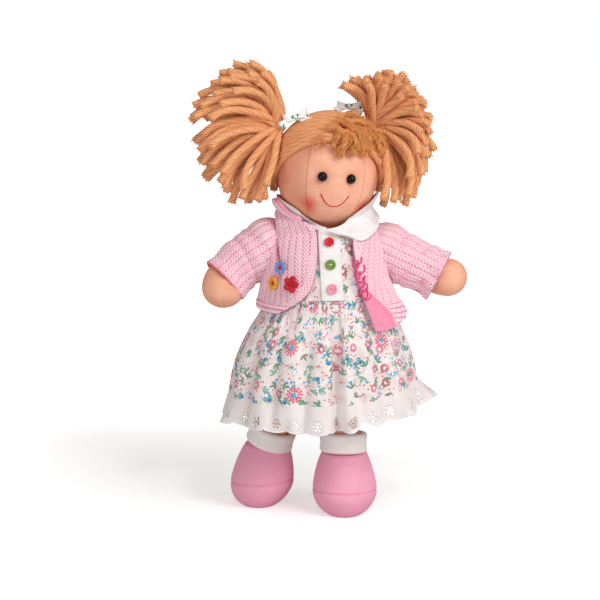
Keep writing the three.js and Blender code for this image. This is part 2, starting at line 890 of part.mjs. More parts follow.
for (const side of ["left", "right"]) {
  const { azimuth, polar, standoff } = bunchRoots[side];
  const seat = onHead(azimuth, polar, capLift + clearance);
  const outward = onHead(azimuth, polar, capLift + bunchReach).sub(seat).normalize();
  const root = seat.clone().addScaledVector(outward, standoff);
  const strands = bunchStrandShares[side].map(([sideways, forward, upward, droop]) => {
    const way = fromRoom(sideways, -forward, upward);
    const length = bunchReach * Math.hypot(sideways, forward, upward) - yarnRadius;
    const middle = root.clone().addScaledVector(way, length / 2);
    middle.addScaledVector(outward, bunchReach * droop * bunchBowShare);
    const tip = root.clone().addScaledVector(way, length);
    tip.addScaledVector(fromRoom(0, 0, -1), bunchReach * droop * bunchFallShare);
    const curve = new THREE.CatmullRomCurve3([root, middle, tip]);
    const steps = 2;
    return tube(curve, () => yarnRadius, yarnSides, steps, cutEnds);
  });
  const knotSides = 2 * yarnSides;
  const knot = new THREE.SphereGeometry(cordRingRadius - cordRadius / 2, knotSides, yarnSides);
  knot.translate(root.x, root.y, root.z);
  const neckOfBunch = tube(
    new THREE.LineCurve3(seat, root),
    () => cordRingRadius - cordRadius - clearance,
    knotSides,
    1,
    cutEnds,
  );
  const ringTurn = new THREE.Quaternion().setFromUnitVectors(place(0, 0, 1), outward);
  const ringPlace = root.clone().addScaledVector(outward, -2 * cordRadius);
  const tie = (radius) => {
    const hoop = new THREE.TorusGeometry(cordRingRadius, radius, cordSides, cordSteps);
    hoop.applyQuaternion(ringTurn);
    return hoop.translate(ringPlace.x, ringPlace.y, ringPlace.z);
  };
  const bunch = cut(
    join([knot, neckOfBunch, ...strands]),
    headShape(capLift + clearance),
    tie(cordRadius + clearance),
  );
  add(headGroup, "bunch_" + side, bunch, yarn());
  const band = cut(tie(cordRadius), headShape(capLift + clearance));
  add(headGroup, "hair_tie_" + side, band, white());
}

// What the head and its cap sweep as they turn and nod, for the neckline
function headSpace() {
  const sides = 16;
  const envelope = headShape(nodClearance, sides, sides / 2);
  envelope.applyMatrix4(headGroup.matrix);
  return envelope;
}

function neckSpace() {
  return neckShape(turnClearance, neckBottom).applyMatrix4(headGroup.matrix);
}

// The torso ends flat under the neckline, where the neck stands on it.
function aboveNeckline() {
  const size = 4 * headRadius;
  const height = torsoBottom + (torsoTop - torsoBottom) * torsoEndShare;
  return new THREE.BoxGeometry(size, size, size).translate(0, 0, height + size / 2);
}

const torso = cut(
  torsoShape(0),
  hipsShape(turnClearance),
  neckSpace(),
  headSpace(),
  aboveNeckline(),
  ...armholes,
);
add(doll, "torso", torso, skin());

// Dress: bodice, placket, buttons, collar

const bodiceShares = torsoShares
  .map(([share]) => share)
  .filter((share) => share >= bodiceBottomShare && share <= bodiceTopShare);
const bodiceRows = bodiceShares.length - 1;
const bodiceLift = clearance + clothThickness;

const bodiceHeight = (v) => torsoHeightAt(bodiceShares[Math.round(v * bodiceRows)]);
const bodice = thickSheet(
  (u, v) => bodyPoint(bodiceHeight(v), 2 * Math.PI * u, bodiceLift),
  (u, v) => bodyPoint(bodiceHeight(v), 2 * Math.PI * u, clearance),
  torsoSides,
  bodiceRows,
  true,
);
add(doll, "dress_bodice", cut(bodice, headSpace(), ...armholes), floral());

const placketLift = bodiceLift + clearance + placketThickness;

function placketPoint(u, v, grow) {
  const height = placketBottom + (placketTop - placketBottom) * v;
  const middle = placketX.bottom + (placketX.top - placketX.bottom) * v;
  const x = middle + placketWidth * (u - 1 / 2);
  return bodyPoint(height, azimuthOf(height, x, grow), grow);
}

const placketSteps = 4;
const placketRows = 6;
const placket = thickSheet(
  (u, v) => placketPoint(u, v, placketLift),
  (u, v) => placketPoint(u, v, bodiceLift + clearance),
  placketSteps,
  placketRows,
);
add(doll, "placket", cut(placket, headSpace()), white());

// Sets a flat piece, made facing +Z, against the body at a height and a distance to the side.
function setOnBody(geometry, height, x, grow) {
  const azimuth = azimuthOf(height, x, grow);
  const at = bodyPoint(height, azimuth, grow);
  const beside = bodyPoint(height, azimuth + degrees(1), grow);
  const above = bodyPoint(height + clothThickness, azimuth, grow);
  const across = beside.sub(at);
  const up = above.sub(at);
  const facing = across.clone().cross(up).normalize();
  const turn = new THREE.Quaternion().setFromUnitVectors(place(0, 0, 1), facing);
  geometry.applyQuaternion(turn);
  return geometry.translate(at.x, at.y, at.z);
}

function roundButton() {
  const sides = 12;
  const rim = buttonRadius * buttonRimShare;
  const dish = buttonThickness / 4;
  const edge = buttonThickness / 3;
  const profile = [
    [0, 0],
    [buttonRadius - edge, 0],
    [buttonRadius, edge],
    [buttonRadius, buttonThickness - edge],
    [buttonRadius - edge, buttonThickness],
    [rim, buttonThickness],
    [rim - dish, buttonThickness - dish],
    [0, buttonThickness - dish],
  ];
  const points = profile.map(([radius, height]) => new THREE.Vector2(radius, height));
  return new THREE.LatheGeometry(points, sides).rotateX(Math.PI / 2);
}

// A scalloped outline with round petals.
function petalShape(radius, petals) {
  const shape = new THREE.Shape();
  const stepsPerPetal = 6;
  const steps = petals * stepsPerPetal;
  for (let k = 0; k < steps; k++) {
    const turn = (2 * Math.PI * k) / steps;
    const dip = petalDipShare * (1 - Math.abs(Math.sin((turn * petals) / 2)));
    const reach = radius * (1 - dip);
    const point = [reach * Math.cos(turn), reach * Math.sin(turn)];
    if (k === 0) shape.moveTo(...point);
    else shape.lineTo(...point);
  }
  shape.closePath();
  return shape;
}

function flowerButton() {
  const petals = 6;
  const outline = petalShape(buttonRadius, petals);
  return new THREE.ExtrudeGeometry(outline, { depth: buttonThickness, bevelEnabled: false });
}

function withHoles(geometry) {
  const sides = 6;
  const length = 2 * buttonThickness + overrun;
  const holes = [-1, 1].map((way) => {
    const hole = new THREE.CylinderGeometry(buttonHoleRadius, buttonHoleRadius, length, sides);
    return hole.rotateX(Math.PI / 2).translate(way * buttonHoleOffset, 0, 0);
  });
  return cut(geometry, ...holes);
}

const buttonColours = { red: "#c4202f", green: "#7fae2c", pink: "#e88ba6" };
for (const [colour, share] of Object.entries(buttonShares)) {
  const blank = colour === "red" ? flowerButton() : roundButton();
  const height = placketBottom + (placketTop - placketBottom) * share;
  const x = placketX.bottom + (placketX.top - placketX.bottom) * share;
  const button = setOnBody(withHoles(blank), height, x, placketLift + clearance);
  add(doll, "button_" + colour, button, material(buttonColours[colour], 0.35));
}

// Collar: two flat lobes that meet at the front and lie outwards from the neckline
const cardiganLift = bodiceLift + knitLooseness;
const collarLift = cardiganLift + knitThickness + 2 * clearance;

function collarPoint(side, u, v, grow) {
  const wayRound = side === "right" ? u : 1 - u;
  const azimuth = degrees(collarSpreadAngle) * wayRound * (side === "right" ? 1 : -1);
  const frontness = (1 + Math.cos(azimuth)) / 2;
  const drop = collarWidth[side] * fromTable(collarWidthShares, wayRound, 1) * (1 - v);
  const neckHeight = collarNeckHeight - collarFrontDip * frontness ** collarDipPower;
  const neckRadius = collarNeckRadius - collarFrontNarrowing * frontness ** collarNarrowingPower;
  const height = neckHeight - drop;
  const radius = neckRadius + collarOutwardShare * drop;
  const outward = grow * Math.sin(degrees(collarSlopeAngle));
  const widest = bodyPoint(height, Math.PI / 2, collarLift);
  const front = bodyPoint(height, 0, collarLift);
  const halfWidth = Math.max(radius, widest.x - torsoX) + outward;
  const halfDepth = Math.max(radius * collarDepthShare, torsoY - front.y) + outward;
  return place(
    torsoX + halfWidth * Math.sin(azimuth),
    torsoY - halfDepth * Math.cos(azimuth),
    height + grow * Math.cos(degrees(collarSlopeAngle)),
  );
}

for (const side of ["left", "right"]) {
  const collar = thickSheet(
    (u, v) => collarPoint(side, u, v, collarThickness),
    (u, v) => collarPoint(side, u, v, 0),
    collarSteps,
    collarRows,
  );
  add(doll, "collar_" + side, cut(collar, headSpace(), ...armholes), white());
}

// Skirt and lace: one hem line, gathered folds that deepen towards the hem

function foldOf(azimuth) {
  const even = Math.cos(azimuth * foldCount + foldPhase);
  return even + foldBeatShare * Math.cos(azimuth * foldBeat);
}

function hemPoint(azimuth, out, down) {
  const side = Math.max(0, Math.sin(azimuth)) ** 2;
  const ripple = foldDepth * foldOf(azimuth);
  return place(
    skirtX + (skirtWidth / 2 + ripple + out) * Math.sin(azimuth),
    skirtY - (skirtDepth / 2 + ripple + out) * Math.cos(azimuth),
    hemHeight + hemRise * side - down,
  );
}

const waist = torsoHeightAt(bodiceBottomShare) - clearance;

function skirtPoint(u, v, inward) {
  const azimuth = 2 * Math.PI * u;
  const down = skirtShares[Math.round((1 - v) * skirtRings)][0];
  const spread = fromTable(skirtShares, down, 1);
  const top = bodyPoint(waist, azimuth, bodiceLift - inward);
  const bottom = hemPoint(azimuth, -inward, 0);
  const point = top.clone().lerp(bottom, spread);
  point.z = top.z + (bottom.z - top.z) * down;
  return point;
}

const skirt = thickSheet(
  (u, v) => skirtPoint(u, v, 0),
  (u, v) => skirtPoint(u, v, clothThickness),
  skirtSteps,
  skirtRings,
  true,
);
add(doll, "skirt", skirt, floral());

function lacePoint(u, v, inward) {
  const azimuth = 2 * Math.PI * u;
  const side = Math.max(0, Math.sin(azimuth)) ** 2;
  const share = 1 - v;
  const out = (laceFlare + laceSideFlare * side) * share - inward;
  const drop = clearance + (laceHeight - laceSideLift * side) * share;
  return hemPoint(azimuth, out, drop);
}

const lace = thickSheet(
  (u, v) => lacePoint(u, v, 0),
  (u, v) => lacePoint(u, v, laceThickness),
  skirtSteps,
  1,
  true,
);
add(doll, "lace_edging", lace, white());

// Cardigan: an open front, a dipped neckline and one lower corner that turns out

function edgeAzimuth(side, heightShare, height, grow) {
  const share = fromTable(frontEdgeShares[side], heightShare, 1);
  return azimuthOf(height, torsoX + (torsoWidth / 2) * share, grow);
}

function cardiganPoint(u, v, grow) {
  const frontness = (Math.cos(2 * Math.PI * u) + 1) / 2;
  const dip = cardiganNeckDip * frontness ** cardiganDipPower + cardiganBackDip * (1 - frontness) ** 2;
  const top = cardiganTop - dip;
  const height = cardiganBottom + (top - cardiganBottom) * v;
  const share = (height - cardiganBottom) / (cardiganTop - cardiganBottom);
  const start = edgeAzimuth("right", share, height, grow);
  const end = 2 * Math.PI + edgeAzimuth("left", share, height, grow);
  const azimuth = start + (end - start) * u;
  const point = bodyPoint(height, azimuth, grow);
  const near = Math.max(0, 1 - Math.abs(azimuth - degrees(flapAngle)) / degrees(flapSpreadAngle));
  const low = Math.max(0, 1 - (height - cardiganBottom) / (2 * flapReach));
  const turnOut = near * low * low;
  point.x += flapReach * turnOut * Math.sin(azimuth);
  point.y -= flapReach * turnOut * Math.cos(azimuth);
  point.z -= flapDrop * turnOut;
  return point;
}

const cardigan = thickSheet(
  (u, v) => cardiganPoint(u, v, cardiganLift + knitThickness),
  (u, v) => cardiganPoint(u, v, cardiganLift),
  cardiganSteps,
  cardiganRings,
);
add(doll, "cardigan", cut(cardigan, headSpace(), ...armholes), pinkKnit());

const flowerColours = { blue: "#5f7fc0", yellow: "#e6a833", red: "#c52a3c" };
for (const [colour, [sideways, upward]] of Object.entries(flowerShares)) {
  const outline = petalShape(flowerRadius[colour], flowerPetals[colour]);
  const disc = new THREE.ExtrudeGeometry(outline, { depth: flowerThickness, bevelEnabled: false });
  const lift = cardiganLift + knitThickness + flowerLift;
  const x = torsoX + (torsoWidth / 2) * sideways;
  const height = cardiganBottom + (cardiganTop - cardiganBottom) * upward;
  const flower = cut(setOnBody(disc, height, x, lift), torsoShape(lift));
  add(doll, "flower_" + colour, flower, material(flowerColours[colour]));
}

// Bows of ribbon tied over the hair beside each bunch
function bowShape() {
  const shape = new THREE.Shape();
  const half = bowWidth / 2;
  const pinch = bowHeight / 5;
  shape.moveTo(0, pinch);
  shape.quadraticCurveTo(half / 2, bowHeight / 2, half, bowHeight / 2);
  shape.quadraticCurveTo(half * bowBulgeShare, 0, half, -bowHeight / 2);
  shape.quadraticCurveTo(half / 2, -bowHeight / 2, 0, -pinch);
  shape.quadraticCurveTo(-half / 2, -bowHeight / 2, -half, -bowHeight / 2);
  shape.quadraticCurveTo(-half * bowBulgeShare, 0, -half, bowHeight / 2);
  shape.quadraticCurveTo(-half / 2, bowHeight / 2, 0, pinch);
  const settings = { depth: bowThickness, bevelEnabled: false, curveSegments: 4 };
  return new THREE.ExtrudeGeometry(shape, settings);
}

for (const side of ["left", "right"]) {
  const { azimuth, polar, standoff } = bowPlaces[side];
  const at = onHead(azimuth, polar, capLift + standoff);
  const bow = bowShape().rotateX(degrees(90 - bowTiltAngle)).translate(at.x, at.y, at.z);
  add(headGroup, "bow_" + side, cut(bow, headShape(capLift + clearance)), white());
}

export default doll;
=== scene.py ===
# A soft rag doll in a floral dress and an open knitted cardigan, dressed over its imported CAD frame.
# Places and sizes are in millimetres and become metres when a mesh is made. The doll faces -Y.
import math

import bpy
import numpy as np
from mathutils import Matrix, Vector


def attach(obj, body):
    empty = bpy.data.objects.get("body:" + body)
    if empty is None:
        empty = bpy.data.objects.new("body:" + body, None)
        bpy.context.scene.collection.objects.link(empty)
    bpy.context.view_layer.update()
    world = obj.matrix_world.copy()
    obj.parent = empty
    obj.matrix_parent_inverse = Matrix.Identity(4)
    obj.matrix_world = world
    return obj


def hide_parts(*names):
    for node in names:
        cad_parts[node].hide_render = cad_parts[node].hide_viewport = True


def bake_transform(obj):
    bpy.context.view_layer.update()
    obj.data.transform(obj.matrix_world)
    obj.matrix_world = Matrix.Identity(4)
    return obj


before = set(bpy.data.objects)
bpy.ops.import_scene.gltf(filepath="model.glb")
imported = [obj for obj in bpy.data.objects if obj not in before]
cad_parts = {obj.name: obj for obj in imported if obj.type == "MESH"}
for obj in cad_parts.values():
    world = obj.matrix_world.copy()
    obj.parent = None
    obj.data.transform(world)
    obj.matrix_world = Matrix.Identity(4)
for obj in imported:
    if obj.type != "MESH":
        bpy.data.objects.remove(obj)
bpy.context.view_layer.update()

MM = 0.001
TAU = 2 * math.pi

# The doll's own measures, as in the CAD part
SETBACK = 5.0  # the middle of the body lies this far behind the origin
CLEARANCE = 0.3

TORSO = {
    "x": 0.6, "y": -1.0 + SETBACK, "bottom": 112.0, "top": 186.0, "end": 174.0, "width": 72.6, "depth": 66.0,
}
TORSO_SHARES = np.array([
    # height, width, depth
    [0, 0.94, 0.91],
    [0.11, 0.99, 0.97],
    [0.26, 1, 1],
    [0.45, 0.925, 0.975],
    [0.62, 0.91, 0.89],
    [0.76, 0.85, 0.775],
    [0.87, 0.715, 0.635],
    [0.95, 0.525, 0.485],
    [1, 0.36, 0.34],
])

HEAD = {"radius": 30.7, "half": 34.0, "squareness": 2.15, "fullness": 0.53}
HEAD_UV_RADIUS = HEAD["radius"] * 0.86  # U on the face is the angle times this
HEAD_CENTRE = np.array([1.3, -3.0 + SETBACK, 211.3])
HEAD_LEAN = math.radians(6)
HEAD_YAW = math.radians(10.5)
EYE = {"radius": 3.1, "angle": 16.8, "height": -1.0}
SMILE_SHAPE = {"angle": 16.9, "ends": -10.6, "bottom": -17.6}
FACE_SEAM_ANGLE = 36.0
CAP_THICKNESS = 4.0
HAIRLINE_SETBACK = 4.5
BUNCH_REACH = 58.0

BODICE_LIFT = 1.8
CARDIGAN_LIFT = 3.7
KNIT_THICKNESS = 3.0
CARDIGAN = {"bottom": 127.6, "top": 188.0, "dip": 13.0, "dip_power": 8, "back_dip": 3.0}
PLACKET = {"width": 13.4, "bottom": 137.0, "top": 175.5, "thickness": 1.2, "x_top": 1.8, "x_bottom": 4.1}
SKIRT = {
    "x": -1.0, "y": -3.5 + SETBACK, "width": 116.0, "depth": 96.0, "waist": 136.5, "hem": 74.5, "rise": 8.0,
}
SKIRT_SHARES = np.array([[0, 0], [0.07, 0.02], [0.2, 0.15], [0.37, 0.46], [0.55, 0.7], [0.78, 0.9], [1, 1]])
LACE = {"height": 15.5, "flare": 5.0, "side_flare": 6.0, "side_lift": 6.0}


def linear(*srgb):
    """A colour given as sRGB from 0 to 255, as linear light."""
    shares = np.array(srgb, float) / 255
    return tuple(np.where(shares <= 0.04045, shares / 12.92, ((shares + 0.055) / 1.055) ** 2.4))


# Small geometry helpers

def unit(v):
    v = np.asarray(v, float)
    return v / np.linalg.norm(v, axis=-1, keepdims=True)


def smooth(low, high, x):
    t = np.clip((np.asarray(x, float) - low) / (high - low), 0, 1)
    return t * t * (3 - 2 * t)


def bell(x, width):
    return np.exp(-((np.asarray(x, float) / width) ** 2))


def hermite(start, end, start_slope, end_slope, t):
    """A cubic from start to end with the given slopes, at t from 0 to 1."""
    return (
        start * (2 * t**3 - 3 * t**2 + 1)
        + start_slope * (t**3 - 2 * t**2 + t)
        + end * (3 * t**2 - 2 * t**3)
        + end_slope * (t**3 - t**2)
    )


def table(rows, at, column):
    """A smooth value from a table whose first column rises."""
    rows = np.asarray(rows, float)
    keys, values = rows[:, 0], rows[:, column]
    slopes = np.empty(len(keys))
    slopes[1:-1] = (values[2:] - values[:-2]) / (keys[2:] - keys[:-2])
    slopes[[0, -1]] = np.diff(values)[[0, -1]] / np.diff(keys)[[0, -1]]
    at = np.clip(np.asarray(at, float), keys[0], keys[-1])
    row = np.clip(np.searchsorted(keys, at, side="left") - 1, 0, len(keys) - 2)
    span = keys[row + 1] - keys[row]
    t = (at - keys[row]) / span
    return hermite(values[row], values[row + 1], slopes[row] * span, slopes[row + 1] * span, t)


def lumps(points, size, seed, waves=7):
    """Soft unevenness from -1 to 1 over points in millimetres, with hills about size across."""
    rng = np.random.default_rng(seed)
    total = np.zeros(points.shape[:-1])
    for _ in range(waves):
        way = unit(rng.normal(size=3))
        turn = TAU / (2 * size * rng.uniform(0.7, 1.5))
        total += np.sin(points @ way * turn + rng.uniform(0, TAU))
    return total / waves * 1.6


def turns(count):
    """Angles evenly round a full turn, in radians."""
    return np.arange(count) * TAU / count


def wrapped(angle):
    """The same angle, between minus and plus half a turn."""
    return (angle + math.pi) % TAU - math.pi


def run(points, axis=0):
    """Distance along rows or columns of points, from the first one."""
    steps = np.linalg.norm(np.diff(points, axis=axis), axis=-1)
    start = np.zeros_like(np.take(steps, [0], axis))
    return np.concatenate([start, np.cumsum(steps, axis)], axis)


def along_path(path, at, distance):
    """The points of a path at given distances, where distance says how far along each of its points lies."""
    return np.stack([np.interp(at, distance, path[:, k]) for k in range(3)], -1)


def evenly(path, count=None, step=None):
    """The path again with count points at even distances, or with points about a step apart."""
    path = np.asarray(path, float)
    distance = run(path)
    count = count or int(float(distance[-1]) / step)
    return along_path(path, np.linspace(0, distance[-1], count), distance)


def through(points, count):
    """A smooth curve through points, in count even steps."""
    p = np.asarray(points, float)
    ends = np.vstack([2 * p[0] - p[1], p, 2 * p[-1] - p[-2]])
    t = np.linspace(0, 1, 30)[:, None]
    pieces = []
    for k in range(1, len(ends) - 2):
        p0, p1, p2, p3 = ends[k - 1 : k + 3]
        d0, d1, d2 = (math.sqrt(np.linalg.norm(b - a)) for a, b in ((p0, p1), (p1, p2), (p2, p3)))
        slope1 = ((p1 - p0) / d0 - (p2 - p0) / (d0 + d1) + (p2 - p1) / d1) * d1
        slope2 = ((p2 - p1) / d1 - (p3 - p1) / (d1 + d2) + (p3 - p2) / d2) * d1
        pieces.append(hermite(p1, p2, slope1, slope2, t))
    return evenly(np.vstack(pieces), count)


def frames(path, first=(0, -1.0, 0)):
    """Directions along a path and two across it that turn no more than they must."""
    along = unit(np.gradient(path, axis=0))
    last = np.asarray(first, float)
    if abs(along[0] @ unit(last)) > 0.95:
        last = np.array([1.0, 0, 0])
    side = np.empty_like(path)
    for k, way in enumerate(along):
        last = unit(last - (last @ way) * way)
        side[k] = last
    return along, side, np.cross(along, side)


def rings_about(centres, side, up, reach, angle):
    """A ring of points round each centre, in the plane of its side and up directions."""
    across = side[:, None] * (reach * np.cos(angle))[..., None]
    return centres[:, None] + across + up[:, None] * (reach * np.sin(angle))[..., None]


def circle(centre, radius, across, over, count):
    """A closed loop of points in the plane of two directions."""
    turn = np.linspace(0, TAU, count)
    return centre + radius * (np.cos(turn)[:, None] * across + np.sin(turn)[:, None] * over)


def grid_faces(rows, columns, wrap=False):
    step = np.arange(columns if wrap else columns - 1)
    after = (step + 1) % columns
    row = (np.arange(rows - 1) * columns)[:, None]
    return np.stack([row + step, row + after, row + columns + after, row + columns + step], -1).reshape(-1, 4)


def in_room(name, data):
    """A new object that shows the data."""
    made = bpy.data.objects.new(name, data)
    bpy.context.scene.collection.objects.link(made)
    return made


class Pile:
    """The faces of one piece: points in millimetres, UVs in millimetres and a tone for each point."""

    def __init__(self):
        self.points, self.tones, self.uvs = [], [], []
        self.corners, self.uv_corners, self.sizes, self.slots = [], [], [], []
        self.point_count = 0
        self.uv_count = 0

    def add(self, points, faces, uv=None, uv_faces=None, tone=0.5, slot=0, outward=False):
        """faces is a list of arrays of three or four columns. outward turns a closed form's faces out."""
        points = np.asarray(points, float).reshape(-1, 3)
        uv = points[:, :2] if uv is None else np.asarray(uv, float).reshape(-1, 2)
        uv_faces = faces if uv_faces is None else uv_faces
        if outward and self._volume(points, faces) < 0:
            faces = [f[:, ::-1] for f in faces]
            uv_faces = [f[:, ::-1] for f in uv_faces]
        for face, uv_face in zip(faces, uv_faces):
            self.corners.append((face + self.point_count).ravel())
            self.uv_corners.append((uv_face + self.uv_count).ravel())
            self.sizes.append(np.full(len(face), face.shape[1]))
            self.slots.append(np.full(len(face), slot))
        self.points.append(points)
        self.uvs.append(uv)
        tone = np.asarray(tone, float)
        self.tones.append(tone.ravel() if tone.ndim else np.full(len(points), tone))
        self.point_count += len(points)
        self.uv_count += len(uv)

    @staticmethod
    def _volume(points, faces):
        centred = points - points.mean(0)
        total = 0.0
        for f in faces:
            for k in range(1, f.shape[1] - 1):
                a, b, c = centred[f[:, 0]], centred[f[:, k]], centred[f[:, k + 1]]
                total += float(np.einsum("ij,ij->i", a, np.cross(b, c)).sum())
        return total

    def grid(self, points, uv=None, wrap=False, tone=0.5, slot=0):
        """One open surface from rows of points. A wrapped one closes on itself along each row."""
        rows, columns = points.shape[:2]
        if uv is None:
            uv = self.grid_uv(points, wrap)
        self.add(points, [grid_faces(rows, columns, wrap)], uv,
                 [grid_faces(rows, columns + 1 if wrap else columns)], tone, slot)

    @staticmethod
    def grid_uv(points, wrap):
        closed = np.concatenate([points, points[:, :1]], 1) if wrap else points
        return np.stack([run(closed, 1), run(closed, 0)], -1)

    def shell(self, outer, inner, uv=None, wrap=False, tone=0.5, slot=0):
        """A sheet with thickness: two faces and the rims between them."""
        rows, columns = outer.shape[:2]
        count = rows * columns
        if uv is None:
            uv = self.grid_uv(outer, wrap)
        uv = np.asarray(uv, float)
        wide = uv.shape[1]
        face = grid_faces(rows, columns, wrap)
        uv_face = grid_faces(rows, wide)
        faces = [face, face[:, ::-1] + count]
        uv_faces = [uv_face, uv_face[:, ::-1]]

        def rim(edge, uv_edge, flip):
            a, b = edge[:-1], edge[1:]
            ua, ub = uv_edge[:-1], uv_edge[1:]
            strip = np.stack([a, b, b + count, a + count], -1)
            uv_strip = np.stack([ua, ub, ub, ua], -1)
            faces.append(strip[:, ::-1] if flip else strip)
            uv_faces.append(uv_strip[:, ::-1] if flip else uv_strip)

        loop = np.arange(columns + 1) % columns if wrap else np.arange(columns)
        uv_loop = np.arange(wide)
        rim(loop, uv_loop, True)
        rim(loop + (rows - 1) * columns, uv_loop + (rows - 1) * wide, False)
        if not wrap:
            side, uv_side = np.arange(rows) * columns, np.arange(rows) * wide
            rim(side, uv_side, False)
            rim(side + columns - 1, uv_side + wide - 1, True)
        points = np.concatenate([outer.reshape(-1, 3), inner.reshape(-1, 3)])
        tones = np.broadcast_to(tone, outer.shape[:2]).ravel()
        self.add(points, faces, uv, uv_faces, np.concatenate([tones, tones]), slot, outward=True)

    def closed(self, rings, start, end, uv=None, tone=0.5, slot=0):
        """A solid from rings of points and a middle point at each end."""
        rows, columns = rings.shape[:2]
        if uv is None:
            uv = self.grid_uv(rings, True)
        uv = np.asarray(uv, float).reshape(rows, columns + 1, 2)
        count = rows * columns
        step = np.arange(columns)
        after = (step + 1) % columns
        top = (rows - 1) * columns
        uv_count = rows * (columns + 1)
        uv_top = (rows - 1) * (columns + 1)
        first, last = np.full(columns, count), np.full(columns, count + 1)
        uv_first, uv_last = np.full(columns, uv_count), np.full(columns, uv_count + 1)
        faces = [
            grid_faces(rows, columns, True),
            np.stack([first, after, step], -1),
            np.stack([last, top + step, top + after], -1),
        ]
        uv_faces = [
            grid_faces(rows, columns + 1),
            np.stack([uv_first, step + 1, step], -1),
            np.stack([uv_last, uv_top + step, uv_top + step + 1], -1),
        ]
        points = np.concatenate([rings.reshape(-1, 3), [start, end]])
        ends = [uv[0].mean(0), uv[-1].mean(0)]
        tones = np.broadcast_to(tone, rings.shape[:2])
        tones = np.concatenate([tones.ravel(), [tones[0].mean(), tones[-1].mean()]])
        uv = np.concatenate([uv.reshape(-1, 2), ends])
        self.add(points, faces, uv, uv_faces, tones, slot, outward=True)

    def strand(
        self, path, radius, sides=8, plies=0, lay=12.0, depth=0.16, turn=0.0, slot=0, bulge=0.4, tone=None,
    ):
        """A thread along a path. Plies wind round it once in each lay, with a groove between two of them."""
        count = len(path)
        along, side, up = frames(path)
        radius = np.broadcast_to(radius, count).astype(float)
        distance = run(path)[:, None]
        angle = turns(sides)
        crest = np.ones((count, sides))
        if plies:
            crest = np.abs(np.cos(plies / 2 * (angle - TAU * distance / lay - turn)))
        rings = rings_about(path, side, up, radius[:, None] * (1 - depth * (1 - crest)), angle)
        around = np.linspace(0, 1, sides + 1) * (TAU * radius)[:, None]
        uv = np.stack(np.broadcast_arrays(around, distance), -1)
        start = path[0] - along[0] * radius[0] * bulge
        end = path[-1] + along[-1] * radius[-1] * bulge
        # Unless given, the tone is the plies' crest, which the yarn and ribbon colours turn into painted
        # shade in the grooves.
        self.closed(rings, start, end, uv, crest if tone is None else tone, slot)

    def ball(self, centre, radii, sides=24, rows=14, turn=np.eye(3), tone=0.5, slot=0):
        angle = turns(sides)
        lift = np.linspace(-math.pi / 2, math.pi / 2, rows + 2)[1:-1, None]
        ring = (np.cos(lift) * np.cos(angle), np.cos(lift) * np.sin(angle), np.sin(lift))
        ring = np.stack(np.broadcast_arrays(*ring), -1)
        radii = np.asarray(radii, float)
        start, end = centre + (np.array([[0, 0, -1.0], [0, 0, 1.0]]) * radii) @ turn.T
        self.closed((ring * radii) @ turn.T + centre, start, end, tone=tone, slot=slot)

    def make(self, name, *looks):
        corners = np.concatenate(self.corners).astype(np.int32)
        sizes = np.concatenate(self.sizes)
        mesh = bpy.data.meshes.new(name)
        mesh.vertices.add(self.point_count)
        mesh.vertices.foreach_set("co", (np.concatenate(self.points) * MM).astype(np.float32).ravel())
        mesh.loops.add(len(corners))
        mesh.loops.foreach_set("vertex_index", corners)
        mesh.polygons.add(len(sizes))
        mesh.polygons.foreach_set("loop_start", (np.cumsum(sizes) - sizes).astype(np.int32))
        mesh.polygons.foreach_set("material_index", np.concatenate(self.slots).astype(np.int32))
        mesh.polygons.foreach_set("use_smooth", np.ones(len(sizes), bool))
        uv = np.concatenate(self.uvs)[np.concatenate(self.uv_corners)]
        mesh.uv_layers.new(name="UVMap").uv.foreach_set("vector", uv.astype(np.float32).ravel())
        tone = mesh.attributes.new("tone", "FLOAT", "POINT")
        tone.data.foreach_set("value", np.concatenate(self.tones).astype(np.float32))
        mesh.update(calc_edges=True)
        mesh.validate()
        for look in looks:
            mesh.materials.append(look)
        return in_room(name, mesh)


# Materials, written as sums over values in a node tree

class Value:
    def __init__(self, look, socket):
        self.look = look
        self.socket = socket

    def __add__(self, other):
        return self.look.math("ADD", self, other)

    def __sub__(self, other):
        return self.look.math("SUBTRACT", self, other)

    def __mul__(self, other):
        return self.look.math("MULTIPLY", self, other)

    def __truediv__(self, other):
        return self.look.math("DIVIDE", self, other)

    def __pow__(self, other):
        return self.look.math("POWER", self, other)

    def __abs__(self):
        return self.look.math("ABSOLUTE", self)

    def __rsub__(self, other):
        return self.look.math("SUBTRACT", other, self)

    __radd__ = __add__
    __rmul__ = __mul__


